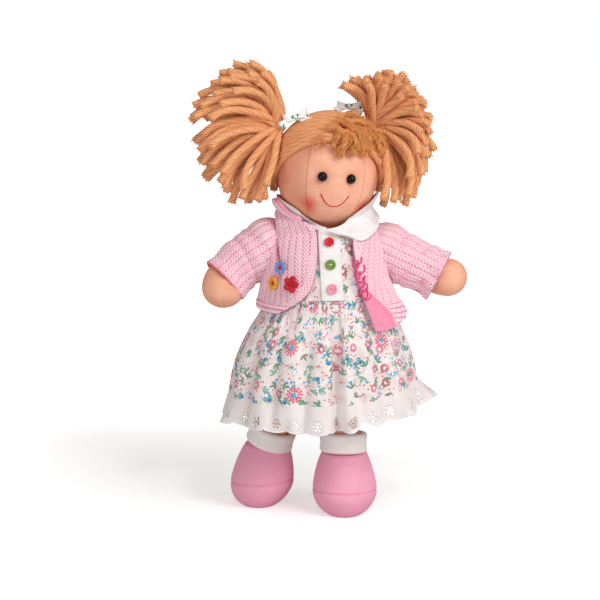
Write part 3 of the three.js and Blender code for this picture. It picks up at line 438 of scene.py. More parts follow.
class Look:
    """One procedural material. U and V are millimetres over the cloth."""

    def __init__(self, name, roughness=0.9, sheen=0.0, gloss=0.3):
        self.material = bpy.data.materials.new(name)
        self.material.use_nodes = True
        self.nodes = self.material.node_tree.nodes
        self.links = self.material.node_tree.links
        self.surface = self.nodes["Principled BSDF"]
        self.surface.inputs["Roughness"].default_value = roughness
        self.surface.inputs["Specular IOR Level"].default_value = gloss
        if sheen:
            self.surface.inputs["Sheen Weight"].default_value = sheen
            self.surface.inputs["Sheen Roughness"].default_value = 0.6
        self.u, self.v = self.parts(self.node("ShaderNodeUVMap", uv_map="UVMap").outputs["UV"])
        self.tone = Value(self, self.node("ShaderNodeAttribute", attribute_name="tone").outputs["Fac"])

    def node(self, kind, **settings):
        made = self.nodes.new(kind)
        for name, value in settings.items():
            setattr(made, name, value)
        return made

    def put(self, socket, value):
        if isinstance(value, Value):
            self.links.new(value.socket, socket)
        elif isinstance(value, bpy.types.NodeSocket):
            self.links.new(value, socket)
        elif hasattr(value, "__len__") and len(value) == 3 and len(socket.default_value) == 4:
            socket.default_value = (*value, 1)
        else:
            socket.default_value = value

    def math(self, operation, *values):
        made = self.node("ShaderNodeMath", operation=operation)
        for socket, value in zip(made.inputs, values):
            self.put(socket, value)
        return Value(self, made.outputs[0])


    def step(self, value, low, high):
        """0 below low and 1 above high, smooth between them. It falls instead where low is the larger."""
        made = self.node("ShaderNodeMapRange", interpolation_type="SMOOTHSTEP")
        falls = low > high
        ends = (min(low, high), max(low, high), float(falls), float(not falls))
        for name, given in zip(("Value", "From Min", "From Max", "To Min", "To Max"), (value, *ends)):
            self.put(made.inputs[name], given)
        return Value(self, made.outputs["Result"])

    def point(self, x, y, z=0.0):
        made = self.node("ShaderNodeCombineXYZ")
        for socket, value in zip(made.inputs, (x, y, z)):
            self.put(socket, value)
        return made.outputs[0]

    def grain(self, across, along, layer, detail=2.0):
        """Noise from about 0.3 to 0.7 with hills of these sizes in millimetres. No two layers are alike."""
        where = self.point(self.u / across, self.v / along, layer)
        made = self.node("ShaderNodeTexNoise", noise_dimensions="3D")
        for name, value in (("Vector", where), ("Scale", 1.0), ("Detail", detail), ("Roughness", 0.5)):
            self.put(made.inputs[name], value)
        return Value(self, made.outputs["Fac"])

    def mix(self, share, a, b):
        made = self.node("ShaderNodeMix", data_type="RGBA", clamp_factor=True)
        for k, value in ((0, share), (6, a), (7, b)):
            self.put(made.inputs[k], value)
        return made.outputs[2]

    def parts(self, vector):
        """The first two of a vector's components."""
        split = self.node("ShaderNodeSeparateXYZ")
        self.put(split.inputs[0], vector)
        return Value(self, split.outputs["X"]), Value(self, split.outputs["Y"])

    def scatter(self, cell, randomness, shift):
        """One spot in each cell of the cloth: place relative to the spot in millimetres, turned its own way,
        and a number of the spot's own from 0 to 1."""
        made = self.node("ShaderNodeTexVoronoi", voronoi_dimensions="2D", feature="F1")
        where = self.point(self.u / cell + shift, self.v / cell + shift * 2)
        for name, value in (("Vector", where), ("Scale", 1.0), ("Randomness", randomness)):
            self.put(made.inputs[name], value)
        own = self.node("ShaderNodeSeparateColor")
        self.put(own.inputs[0], made.outputs["Color"])
        spot = self.node("ShaderNodeVectorMath", operation="SUBTRACT")
        self.put(spot.inputs[0], where)
        self.put(spot.inputs[1], made.outputs["Position"])
        turn = self.node("ShaderNodeVectorRotate", rotation_type="Z_AXIS")
        self.put(turn.inputs["Vector"], spot.outputs[0])
        self.put(turn.inputs["Angle"], Value(self, own.outputs["Red"]) * TAU)
        x, y = self.parts(turn.outputs[0])
        return x * cell, y * cell, Value(self, own.outputs["Green"])

    def reach(self, x, y):
        return (x * x + y * y) ** 0.5

    def bump(self, height, distance):
        made = self.node("ShaderNodeBump")
        for name, value in (("Strength", 1.0), ("Distance", distance * MM), ("Height", height)):
            self.put(made.inputs[name], value)
        self.put(self.surface.inputs["Normal"], made.outputs[0])

    def finish(self, colour):
        self.put(self.surface.inputs["Base Color"], colour)
        return self.material

    def cloth(self, light, deep):
        """The colour of plain woven cloth, and the height of its threads."""
        threads = self.grain(0.55, 0.8, 1.0)
        patches = self.grain(14, 14, 4.0)
        colour = self.mix(self.step(threads * 0.35 + patches * 0.65, 0.32, 0.62), deep, light)
        return colour, self.weave() * 0.7 + threads

    def weave(self, pitch=0.5):
        """Fine threads both ways, from 0 to 1."""
        over = self.math("SINE", self.u * (TAU / pitch))
        under = self.math("SINE", self.v * (TAU / pitch))
        return over * under * 0.5 + 0.5


def skin_look():
    look = Look("skin_cloth", 0.9, 0.0, 0.15)
    colour, threads = look.cloth(linear(250, 190, 160), linear(240, 168, 136))
    colour = look.mix(look.tone, linear(196, 112, 84), colour)
    look.bump(threads, 0.04)
    return look.finish(colour)


def face_look():
    """As the skin, with a round patch of blusher on each cheek. U is the angle round the head."""
    look = Look("face_cloth", 0.9, 0.0, 0.15)
    colour, threads = look.cloth(linear(252, 192, 164), linear(243, 172, 141))
    patches = look.grain(9, 9, 4.0)
    for angle, height, size in ((33.0, -18.6, 8.8), (-46.0, -18.2, 8.4)):
        across = look.u - math.radians(angle) * HEAD_UV_RADIUS
        near = look.reach(across, look.v - height)
        fade = look.step(near + patches * 3.0 - 1.5, size, 0.4)
        colour = look.mix(fade * 0.88, colour, linear(230, 78, 74))
    # Painted shade: the panel beyond the seam on the viewer's left is darkened, for the shade of the hair
    # bunch and of the side away from the key lamp.
    colour = look.mix(look.step(look.u, 16.2, 17.0) * 0.4, colour, linear(216, 142, 112))
    # A low tone darkens the side seams, and paints shade into the dimples round the eyes.
    colour = look.mix(look.tone, linear(188, 104, 78), colour)
    look.bump(threads, 0.04)
    return look.finish(colour)


def yarn_look(name, deep, middle, pale):
    look = Look(name, 0.95, 0.08, 0.1)
    patches = look.grain(3, 9, 2.0)
    fibres = look.grain(0.35, 1.6, 3.0)
    # The tone is high on the plies' crests and low in the grooves: the deep colour is painted shade in the
    # grooves and the pale one painted highlight on the crests, varied at random by fibres and patches.
    height = look.tone * 0.85 + fibres * 0.35 + patches * 0.25 - 0.2
    colour = look.mix(look.step(height, 0.05, 0.55), deep, middle)
    colour = look.mix(look.step(height, 0.55, 1.0), colour, pale)
    look.bump(fibres, 0.2)
    return look.finish(colour)


def knit_look(name, deep, middle, pale):
    look = Look(name, 0.9, 0.1, 0.15)
    patches = look.grain(7, 7, 2.0)
    fibres = look.grain(0.5, 0.5, 3.0)
    # The tone is the stitches' height: the deep colour is painted shade in the gaps between stitches and the
    # pale one painted highlight on their tops, varied at random by fibres and patches.
    height = look.tone + patches * 0.3 + fibres * 0.5 - 0.4
    colour = look.mix(look.step(height, 0.05, 0.45), deep, middle)
    colour = look.mix(look.step(height, 0.35, 0.85), colour, pale)
    look.bump(fibres, 0.15)
    return look.finish(colour)


def cotton_look(name, pale, deep, roughness=0.9, pitch=0.6, gloss=0.2):
    look = Look(name, roughness, 0.0, gloss)
    patches = look.grain(6, 6, 2.0)
    threads = look.grain(0.6, 0.6, 3.0)
    colour = look.mix(look.tone * look.step(threads * 0.3 + patches * 0.7, 0.15, 0.5), deep, pale)
    look.bump(look.weave(pitch) * 0.6 + threads, 0.04)
    return look.finish(colour)


def plain_look(name, colour, roughness=0.5, gloss=0.5, sheen=0.0):
    return Look(name, roughness, sheen, gloss).finish(colour)


def floral_look():
    """White cotton with scattered daisies, buds, berries, leaves and tendrils."""
    look = Look("floral_cotton", 0.9, 0.0, 0.2)
    patches = look.grain(6, 6, 2.0)
    ragged = look.grain(0.8, 0.8, 7.0) - 0.5
    colour = look.mix(look.step(patches, 0.3, 0.6), linear(236, 221, 220), linear(247, 238, 237))

    def over(share, ink):
        nonlocal colour
        colour = look.mix(share, colour, ink)

    # Tendrils
    wander = look.grain(13, 13, 5.0, 0.0)
    broken = look.grain(9, 9, 9.0, 0.0)
    line = look.step(abs(wander - 0.5), 0.012, 0.006) * look.step(broken, 0.5, 0.52)
    over(line * 0.75, linear(204, 186, 146))

    # Leaves, in threes about a stalk
    greens = ((9.0, 3.7, 0.38, linear(138, 186, 160)), (10.0, 8.1, 0.4, linear(112, 160, 128)))
    for cell, shift, keep, ink in greens:
        x, y, own = look.scatter(cell, 0.8, shift)
        for slope, size in ((0.0, 2.7), (0.9, 2.0), (-0.9, 2.0)):
            c, s = math.cos(slope), math.sin(slope)
            along = x * c + y * s - size * 0.9
            across = y * c - x * s
            lens = 0.85 - along * along * (0.85 / size ** 2) - abs(across) + ragged * 0.7
            over(look.step(lens, 0.0, 0.2) * look.step(own, keep, keep + 0.04), ink)

    # Red dots in clusters
    x, y, own = look.scatter(2.9, 0.9, 1.3)
    cluster = look.grain(7, 7, 11.0, 0.0)
    dots = look.step(look.reach(x, y) + ragged * 0.4, 0.72, 0.45)
    over(dots * look.step(own, 0.2, 0.25) * look.step(cluster, 0.5, 0.53) * 0.9, linear(214, 70, 98))

    # Blue berries in sprays
    x, y, own = look.scatter(2.3, 0.85, 5.9)
    cluster = look.grain(6, 6, 15.0, 0.0)
    berry = look.step(look.reach(x, y * 0.7) + ragged * 0.4, 0.8, 0.5)
    over(berry * look.step(cluster, 0.64, 0.67), linear(84, 164, 208))

    # Blue buds with a darker cup and a green leaf at either side
    x, y, own = look.scatter(12.5, 0.85, 2.2)
    show = look.step(own, 0.42, 0.45)
    for way in (1, -1):
        off = look.reach((x + 1.3) * 0.55, y - 1.9 * way)
        over(look.step(off + ragged * 0.6, 0.85, 0.55) * show, linear(112, 168, 128))
    bud = look.reach(x, y * 0.85) + ragged * 0.8
    over(look.step(bud, 1.7, 1.35) * show, linear(104, 172, 206))
    over(look.step(look.reach(x - 0.7, y) + ragged * 0.7, 1.0, 0.6) * show, linear(74, 116, 172))

    # Small ring daisies and large daisies
    daisies = ((13.0, 6.4, 3.1, 12, 0.4, (196, 44, 86), (220, 88, 118)),
               (29.0, 0.6, 5.4, 12, 0.42, (204, 56, 96), (238, 128, 152)))
    for cell, shift, size, petals, keep, near_ink, far_ink in daisies:
        x, y, own = look.scatter(cell, 0.7, shift)
        far = look.reach(x, y)
        turn = look.math("ARCTAN2", y, x)
        ridge = abs(look.math("COSINE", turn * (petals / 2)))
        edge = ridge ** 0.5 * (0.3 * size) + 0.7 * size + ragged * (0.3 * size) - far
        petal = look.step(edge, 0.0, 0.25) * look.step(ridge, 0.35, 0.55)
        show = look.step(own, keep, keep + 0.03)
        shade = look.mix(look.step(far + ragged, 0.3 * size, 0.8 * size), linear(*near_ink), linear(*far_ink))
        over(petal * look.step(far, 0.32 * size, 0.4 * size) * show, shade)
        core = linear(112, 178, 216) if size > 4 else linear(248, 240, 238)
        over(look.step(far + ragged * 0.3, 0.3 * size, 0.24 * size) * show, core)
        if size > 4:
            rim = look.step(abs(far - 1.5) + ragged * 0.5, 0.35, 0.15)
            over(rim * show * look.step(x + y, -0.6, 0.4), linear(56, 92, 164))

    # Where the tone is low the print is mixed towards a dull pink: painted shade in the skirt's folds.
    colour = look.mix(look.tone, look.mix(0.35, colour, linear(196, 160, 160)), colour)
    look.bump(look.weave(0.5), 0.03)
    return look.finish(colour)


def ribbon_look():
    look = Look("ribbon", 0.6, 0.0, 0.3)
    # A low tone turns the white grey: painted shade in the grooves of the tie cord's plies, and a little on
    # the knot.
    colour = look.mix(look.tone, linear(196, 200, 198), linear(248, 249, 248))
    for cell, shift, ink in ((4.2, 0.0, linear(222, 100, 140)), (3.8, 4.0, linear(84, 160, 140))):
        x, y, own = look.scatter(cell, 0.8, shift)
        blot = look.step(look.reach(x, y * 0.5), 0.95, 0.6) * look.step(own, 0.5, 0.55)
        colour = look.mix(blot, colour, ink)
    return look.finish(colour)


SKIN = skin_look()
FACE = face_look()
# In every yarn_look the first colour is painted shade in the ply grooves and the last painted highlight on
# the crests.
YARN = yarn_look("yarn_hair", linear(160, 80, 34), linear(238, 158, 104), linear(253, 206, 156))
FRINGE = yarn_look("yarn_fringe", linear(184, 104, 44), linear(236, 156, 84), linear(250, 194, 134))
FLORAL = floral_look()
WHITE = cotton_look("white_cotton", linear(245, 242, 242), linear(224, 217, 218))
SOCK = cotton_look("sock_cotton", linear(250, 244, 241), linear(234, 226, 222))
LACE_WHITE = cotton_look("lace", linear(246, 241, 240), linear(222, 204, 200))
# The knit's first colour is painted shade between the stitches, its last painted highlight on their tops.
PINK_KNIT = knit_look("pink_knit", linear(206, 86, 128), linear(246, 176, 198), linear(255, 224, 232))
FACING = cotton_look("pink_facing", linear(246, 150, 178), linear(232, 120, 156), pitch=0.9)
BOOT = cotton_look("boot_cloth", linear(252, 174, 201), linear(243, 154, 184), 0.85)
RIBBON = ribbon_look()
BEAD = plain_look("eye_bead", linear(3, 2, 2), 0.05, 0.28)
SMILE = plain_look("smile_thread", linear(214, 62, 46), 0.7)
RED = plain_look("button_red", linear(222, 34, 44), 0.3)
GREEN = plain_look("button_green", linear(112, 150, 52), 0.3)
PINK = plain_look("button_pink", linear(244, 158, 178), 0.3)
THREAD = plain_look("white_thread", linear(240, 236, 230), 0.8)
HOT_PINK = plain_look("loop_thread", linear(226, 52, 130), 0.8)
ORANGE = plain_look("edge_thread", linear(226, 88, 66), 0.8)
BLUE_YARN = yarn_look("crochet_blue", linear(70, 90, 160), linear(120, 152, 214), linear(166, 190, 232))
YELLOW_YARN = yarn_look("crochet_yellow", linear(190, 90, 20), linear(246, 166, 44), linear(255, 204, 96))
RED_YARN = yarn_look("crochet_red", linear(130, 10, 26), linear(206, 32, 52), linear(232, 74, 88))


# The doll's outlines

def turn_about(axis, angle):
    x, y, z = unit(axis)
    c, s = math.cos(angle), math.sin(angle)
    cross = np.array([[0, -z, y], [z, 0, -x], [-y, x, 0]])
    return np.eye(3) * c + (1 - c) * np.outer([x, y, z], [x, y, z]) + s * cross


HEAD_TURN = turn_about((0, 1, 0), HEAD_LEAN) @ turn_about((0, 0, 1), HEAD_YAW)


def from_head(points):
    """Points in the head's own frame, brought into the room."""
    return np.asarray(points, float) @ HEAD_TURN.T + HEAD_CENTRE


def head_radius(share, lift=0.0):
    """The head's radius at a share of its half height, at a height over its surface."""
    radius = HEAD["radius"] * (1 - np.abs(share) ** HEAD["squareness"]) ** HEAD["fullness"]
    return radius * (HEAD["radius"] + lift) / HEAD["radius"]


def reach_at(height, lift):
    """How far from its axis the head's surface lies at a height of its own frame."""
    return head_radius(np.clip(np.abs(height) / (HEAD["half"] + lift), 0, 1), lift)


def on_head(azimuth, polar, lift=0.0):
    """A point over the head in its own frame. Azimuth 0 is the face, and grows to the viewer's left."""
    azimuth, polar = np.radians(azimuth), np.radians(polar)
    share = np.cos(polar)
    radius = head_radius(share, lift)
    return np.stack([-radius * np.sin(azimuth), -radius * np.cos(azimuth), share * (HEAD["half"] + lift)], -1)


def onto_head(points, lift):
    """Points of the head's frame, moved in or out to a height over its surface."""
    points = np.asarray(points, float)
    low = np.zeros(points.shape[:-1])
    high = low + 3.0
    for _ in range(30):
        middle = (low + high) / 2
        x, y, z = np.moveaxis(points * middle[..., None], -1, 0)
        outside = (np.hypot(x, y) > reach_at(z, lift)) | (np.abs(z) >= HEAD["half"] + lift)
        high = np.where(outside, middle, high)
        low = np.where(outside, low, middle)
    return points * low[..., None]


def clear_of_head(points, gap):
    """The same points, with any that lie nearer to the head than the gap moved straight out."""
    own = (points - HEAD_CENTRE) @ HEAD_TURN
    near = np.hypot(own[..., 0], own[..., 1])
    own[..., :2] *= np.maximum(1, reach_at(own[..., 2], gap) / np.maximum(near, 1e-6))[..., None]
    return from_head(own)


def oval(x, y, wide, deep, azimuth, height):
    """A point on an oval about a middle. Azimuth 0 is the front, and grows towards +X."""
    return np.stack(np.broadcast_arrays(x + wide * np.sin(azimuth), y - deep * np.cos(azimuth), height), -1)


def torso_halves(height, grow):
    """Half the torso's width and depth at a height, grown outwards."""
    share = (height - TORSO["bottom"]) / (TORSO["top"] - TORSO["bottom"])
    return [TORSO[way] / 2 * table(TORSO_SHARES, share, k) + grow for k, way in ((1, "width"), (2, "depth"))]


def body_point(height, azimuth, grow):
    """A point of the torso's outline grown outwards."""
    return oval(TORSO["x"], TORSO["y"], *torso_halves(height, grow), azimuth, height)


def azimuth_at(height, x, grow):
    return np.arcsin(np.clip((x - TORSO["x"]) / torso_halves(height, grow)[0], -1, 1))


def normals(points, wrap=False):
    """Unit normals of a grid of points, outward where the rows rise and the columns run anticlockwise."""
    wide = np.concatenate([points[:, -1:], points, points[:, :1]], 1) if wrap else points
    across = np.gradient(wide, axis=1)
    return unit(np.cross(across[:, 1:-1] if wrap else across, np.gradient(points, axis=0)))


def stand_in(piece, slot, *nodes):
    if nodes:
        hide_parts(*nodes)
    return piece


def ride(piece, body, slot, *nodes):
    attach(piece, body)
    return stand_in(piece, slot, *nodes)


# Head

def make_head():
    columns, rows = 340, 130
    azimuth = np.linspace(-180, 180, columns, endpoint=False)
    share = np.sin(np.radians(np.linspace(-90, 90, rows + 2)[1:-1]))[:, None]
    radius = head_radius(share)
    height = share * HEAD["half"] + 0 * azimuth

    def off(place):
        return radius * np.radians(azimuth - place)

    dent = 0.12 * bell(off(0), 0.6) * smooth(-14, -22, height)
    seam_and_eye_shade = np.zeros((rows, columns))
    for way in (-1, 1):
        pucker = 0.5 + 0.5 * np.sin(height * 2.6)
        side_seam = off(way * FACE_SEAM_ANGLE)
        dent += 0.4 * bell(side_seam, 0.5) + 0.12 * bell(side_seam, 2.6) * pucker
        eye = np.hypot(off(way * EYE["angle"]), height - EYE["height"] + 0.4)
        dent += 1.3 * bell(eye, 4.4)
        dent += 0.3 * bell(np.hypot(off(way * 17.5), height - SMILE_SHAPE["ends"]), 2.0)
        # The tone darkens the side seams, and paints shade into the dimples round the eyes.
        seam_and_eye_shade = np.maximum(seam_and_eye_shade, np.maximum(0.6 * bell(side_seam, 0.35), 0.55 * bell(eye, 4.3)))
    turn = np.radians(azimuth)
    points = np.stack([-np.sin(turn) * radius, -np.cos(turn) * radius, height], -1)
    dent += 0.3 * lumps(points, 14, 3)
    points *= (1 - dent / 31)[..., None]
    u = np.radians(np.append(azimuth, 180.0)) * HEAD_UV_RADIUS
    uv = np.stack(np.broadcast_arrays(u, share * HEAD["half"]), -1)
    pile = Pile()
    ends = from_head([[0, 0, -HEAD["half"]], [0, 0, HEAD["half"]]])
    pile.closed(from_head(points), *ends, uv, 1 - 0.8 * seam_and_eye_shade)
    head = ride(pile.make("head_cloth", FACE), "head", "skin_cloth", "head")


def make_face():
    for side, way in (("left", 1), ("right", -1)):
        polar = math.degrees(math.acos(EYE["height"] / HEAD["half"]))
        centre = from_head(on_head(way * EYE["angle"], polar, -0.4)) + np.array([0, 0, 0.9])
        pile = Pile()
        pile.ball(centre, [2.95] * 3, 36, 22)
        ride(pile.make("eye_bead_" + side, BEAD), "head", "eye_bead", "eye_" + side)
    t = np.linspace(-1, 1, 61)
    height = SMILE_SHAPE["bottom"] + (SMILE_SHAPE["ends"] - SMILE_SHAPE["bottom"]) * np.abs(t) ** 2.3
    azimuth = np.radians(SMILE_SHAPE["angle"] * np.sign(t) * np.abs(t) ** 0.92)
    radius = head_radius(height / HEAD["half"])
    path = onto_head(np.stack([-np.sin(azimuth) * radius, -np.cos(azimuth) * radius, height], -1), 0.05)
    pile = Pile()
    pile.strand(from_head(path), 0.52, 8, plies=2, lay=2.2, depth=0.12)
    ride(pile.make("smile", SMILE), "head", "skin_cloth")


make_head()
make_face()


# Hair

ROOTS = {
    "left": {"azimuth": 96.0, "polar": 54.0, "standoff": 8.5},
    "right": {"azimuth": -92.0, "polar": 44.0, "standoff": 5.5},
}
YARN_RADIUS = 2.45
YARN_PLIES = 6
YARN_LAY = 11.0


def root_of(side):
    place = ROOTS[side]
    seat = on_head(place["azimuth"], place["polar"], CAP_THICKNESS + 2 * CLEARANCE)
    far = on_head(place["azimuth"], place["polar"], CAP_THICKNESS + CLEARANCE + BUNCH_REACH)
    outward = unit(far - seat)
    return seat, seat + outward * place["standoff"], outward


def hairline_polar(azimuth):
    """How far down from the crown the cap reaches at an azimuth, in degrees."""
    polars = np.linspace(20, 118, 300)
    grid = on_head(azimuth, polars, 2.0)
    inside = (grid[:, 1] + grid[:, 2]) / math.sqrt(2) > -HAIRLINE_SETBACK
    inside &= grid[:, 2] > -14.2
    return polars[inside].max() if inside.any() else polars[0]


CAP_STRANDS = {"front": 8, "back": 18}  # on each side of the parting


def make_cap():
    pile = Pile()
    azimuth = np.arange(0, 360, 3.0)
    edge = np.array([hairline_polar(a) for a in azimuth])
    polars = edge * np.linspace(0.02, 1, 26)[:, None] - 1
    # The shell under the strands gets a low tone: painted shade in the gaps between them.
    pile.shell(*(from_head(on_head(azimuth, polars, lift)) for lift in (1.0, 0.3)), wrap=True, tone=0.4)
    rng = np.random.default_rng(11)
    t = np.linspace(0, 1, 40)
    for side, way in (("left", 1), ("right", -1)):
        crown = on_head(way * 4, 6, 2.3)
        root = ROOTS[side]
        straight = crown + (root_of(side)[0] - crown) * t[:, None]
        for k in range(sum(CAP_STRANDS.values())):
            if k < CAP_STRANDS["front"]:
                weight = 1 - k / CAP_STRANDS["front"]
                bends, bent = [0, 0.72, 1], [-4 * way, way * 94, root["azimuth"]]
            else:
                weight = (k - CAP_STRANDS["front"] + 0.5) / CAP_STRANDS["back"]
                bends, bent = [0, 0.7, 1], [180 * way, 104 * way, root["azimuth"]]
            azimuths = np.interp(t, bends, bent)
            edges = np.array([hairline_polar(a) for a in azimuths]) - 3.2
            polars = edges + (root["polar"] - edges) * smooth(bends[1], 1, t)
            path = onto_head(on_head(azimuths, polars, 2.3) * weight + straight * (1 - weight), 2.0)
            path = from_head(through(path[::5], 90) + rng.normal(size=3) * 0.2)
            radius = 1.95 * (1 + 0.06 * rng.normal())
            pile.strand(evenly(path, step=0.7), radius, 16, YARN_PLIES, 9.5, 0.27, rng.uniform(0, TAU))
    ride(pile.make("hair_cap_yarn", YARN), "head", "yarn_hair", "hair_cap")


def frayed_end(pile, path, radius, rng, count, length):
    """Loose fibres that splay from the cut end of a strand."""
    along = unit(path[-1] - path[-3])
    t = np.linspace(0, 1, 5)[:, None]
    for _ in range(count):
        off = rng.normal(size=3)
        off = unit(off - (off @ along) * along)
        start = path[-1] - along * 1.2 + off * radius * rng.uniform(0.2, 0.85)
        way = unit(along + off * rng.uniform(0.1, 0.7))
        reach = length * rng.uniform(0.5, 1.0)
        bend = off * reach * rng.uniform(-0.2, 0.3)
        fibre = start + way * reach * t + bend * t * t
        pile.strand(fibre, np.linspace(0.3, 0.12, 5), 4, tone=rng.uniform(0.5, 0.9))


BUNCH_FANS = {
    # degrees of the tip from straight up towards the outside, its distance from the root, and degrees by
    # which the strand sets off more steeply upwards
    "left": [
        [12, 33, 20], [32, 40, 34], [50, 43, 36], [62, 45, 33], [75, 48, 30], [94, 51, 24], [104, 50, 19],
        [112, 50, 16], [128, 55, 9], [142, 54, 5], [155, 55, 3], [166, 52, 0], [177, 49, -2],
    ],
    "right": [
        [-41, 37, -12], [-29, 35, -10], [-6, 31, 6], [6, 34, 4], [24, 34, 8], [38, 32, 14], [54, 32, 18],
        [70, 32, 18], [98, 33, 20], [118, 38, 22], [132, 39, 26], [144, 46, 26], [160, 52, 20], [172, 52, 10],
        [184, 47, -2],
    ],
}
# How far a layer of strands leans forwards, and how many it has
BUNCH_LAYERS = [(-0.62, 10), (-0.38, 14), (-0.12, 16), (0.14, 16), (0.38, 14), (0.6, 8)]


def make_bunches():
    for seed, side, way in ((21, "left", -1), (22, "right", 1)):
        _, root, outward = root_of(side)
        root = from_head(root)
        outward = outward @ HEAD_TURN.T
        rng = np.random.default_rng(seed)
        fan = np.array(BUNCH_FANS[side], float)
        pile = Pile()
        t = np.linspace(0, 1, 40)[:, None]
        for layer, (forward, count) in enumerate(BUNCH_LAYERS):
            flat = math.sqrt(1 - forward * forward)

            def along(turn):
                turn = math.radians(turn)
                return np.array([way * math.sin(turn) * flat, -forward, math.cos(turn) * flat])

            for k in range(count):
                spread = (k + 0.5 + 0.5 * (layer % 2 - 0.5)) / count
                angle = fan[0, 0] + (fan[-1, 0] - fan[0, 0]) * spread + rng.uniform(-4, 4)
                reach = table(fan, angle, 1) * rng.uniform(0.88, 1.03)
                arch = table(fan, angle, 2)
                start = root - outward * 5 + rng.normal(size=3) * 1.6
                first = root + along(angle - arch * 1.3 + rng.uniform(-5, 5)) * reach * 0.36
                second = root + along(angle - arch * 0.75 + rng.uniform(-5, 5)) * reach * 0.78
                tip = root + along(angle) * reach
                path = start * (1 - t) ** 3 + first * 3 * t * (1 - t) ** 2
                path = path + second * 3 * t * t * (1 - t) + tip * t ** 3
                wander = np.sin(t * TAU * rng.uniform(0.6, 1.1) + rng.uniform(0, TAU))
                path = path + unit(np.cross(along(angle), [0, 1.0, 0.3])) * wander * t * 1.3
                path[12:] = clear_of_head(path[12:], CAP_THICKNESS + YARN_RADIUS)
                path = evenly(path, step=0.8)
                share = np.linspace(0, 1, len(path))
                swell = (0.62 + 0.38 * smooth(0, 0.3, share)) * (1 + 0.1 * smooth(0.9, 1, share))
                radius = YARN_RADIUS * swell
                pile.strand(path, radius, 16, YARN_PLIES, YARN_LAY, 0.24, rng.uniform(0, TAU))
                frayed_end(pile, path, YARN_RADIUS, rng, 16, 3.4)
        bunch = stand_in(pile.make("bunch_yarn_" + side, YARN), "yarn_hair", "bunch_" + side)
        start, end = (tuple((root + np.array([way * out, 0, 0])) * MM) for out in (5, 24))
        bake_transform(bunch)
        pile = Pile()
        across = unit(np.cross(outward, [0, 1.0, 0]))
        for shift in (-1.1, 0.0, 1.1):
            ring = circle(root + outward * (shift - 4.4), 3.4, across, np.cross(outward, across), 49)
            pile.strand(ring, 0.7, 8, 3, 4.0, 0.15, bulge=0)
        ride(pile.make("hair_tie_cord_" + side, RIBBON), "head", "ribbon", "hair_tie_" + side)


FRINGE_LOCKS = [
    # azimuth and polar angle at the root, the middle and the tip, then the radius
    ((27, 43), (8, 45), (-12, 51), 1.5),
    ((18, 39), (-4, 38), (-24, 44), 1.8),
    ((10, 30), (-10, 34), (-32, 42), 1.9),
    ((6, 46), (4, 52), (8, 59), 1.4),
    ((2, 44), (-3, 56), (-1, 68), 1.6),
    ((-4, 42), (-7, 51), (-9, 58), 1.6),
    ((-8, 42), (-16, 55), (-15, 66), 1.9),
    ((-18, 38), (-24, 50), (-22, 60), 1.8),
    ((-24, 35), (-32, 49), (-30, 66), 1.9),
    ((-36, 34), (-44, 47), (-40, 61), 1.9),
    ((-46, 36), (-56, 50), (-54, 66), 2.1),
    ((-52, 38), (-64, 54), (-70, 78), 2.6),
    ((-30, 24), (-46, 27), (-66, 33), 2.2),
    ((-20, 29), (-40, 37), (-60, 46), 2.1),
    ((-8, 35), (-22, 40), (-38, 50), 2.0),
    ((-46, 42), (-36, 51), (-20, 54), 1.8),
    ((-2, 25), (-20, 26), (-46, 28), 2.1),
    ((-34, 40), (-46, 46), (-62, 57), 2.0),
    ((-14, 46), (-24, 50), (-36, 47), 1.8),
]


def make_fringe():
    pile = Pile()
    rng = np.random.default_rng(31)
    lift = CAP_THICKNESS + 1.2

    def fibres(path, radius, count, starts, lengths, thick, slot):
        """Loose fibres that wind along a lock."""
        _, side, up = frames(path)
        for _ in range(count):
            first = rng.uniform(*starts)
            last = min(1.0, first + rng.uniform(*lengths))
            at = np.linspace(first, last, 9) * (len(path) - 1)
            centre, a, b = (along_path(each, at, np.arange(len(path))) for each in (path, side, up))
            out = radius * np.linspace(0.6, rng.uniform(1.1, 2.2), 9)
            swing = rng.uniform(0, TAU) + rng.uniform(-3.5, 3.5) * np.linspace(0, 1, 9)
            loose = centre + a * (out * np.cos(swing))[:, None] + b * (out * np.sin(swing))[:, None]
            pile.strand(loose, thick, 4, tone=rng.uniform(0.35, 0.95), slot=slot)

    for root, middle, tip, radius in FRINGE_LOCKS:
        ends = [on_head(*root, lift - 1), on_head(*middle, lift + rng.uniform(0.4, 3.0))]
        tip = [angle + rng.uniform(-2, 2) for angle in tip]
        ends.append(on_head(*tip, 1.6 + radius * rng.uniform(0.5, 1.3)))
        path = from_head(through(ends, 46))
        thick = radius * np.linspace(1, 0.6, len(path)) * 0.8
        pile.strand(path, thick, 14, 5, 8.0, 0.26, rng.uniform(0, TAU))
        fibres(path, radius, 60, (0.2, 0.8), (0.2, 0.45), 0.2, 0)
        frayed_end(pile, path, radius * 1.2, rng, 34, 3.6)

    # A loose tuft at the parting, of fibres alone
    path = from_head(through([on_head(22, 48, 3.0), on_head(27, 57, 2.2), on_head(31, 67, 1.2)], 46))
    fibres(path, 2.9, 70, (0.0, 0.6), (0.3, 0.5), 0.14, 1)
    ride(pile.make("fringe_yarn", FRINGE, YARN), "head", "yarn_hair", "fringe")


make_cap()
make_bunches()
make_fringe()


# Ribbon bows

BOWS = {
    "left": {"azimuth": 84.0, "polar": 39.5, "standoff": 3.0, "tilt": -8.0, "seed": 41},
    "right": {"azimuth": -116.0, "polar": 17.0, "standoff": 4.5, "tilt": 8.0, "seed": 42},
}


def strip(pile, path, width_way, width, thickness=0.35):
    """A ribbon along a path, with its width along a given direction at each point."""
    width_way = unit(width_way)
    face = unit(np.cross(unit(np.gradient(path, axis=0)), width_way))
    half = (np.broadcast_to(width, len(path))[:, None] * np.linspace(-0.5, 0.5, 9))[..., None]
    outer = path[:, None] + width_way[:, None] * half + face[:, None] * thickness / 2
    pile.shell(outer, outer - face[:, None] * thickness, tone=1.0)


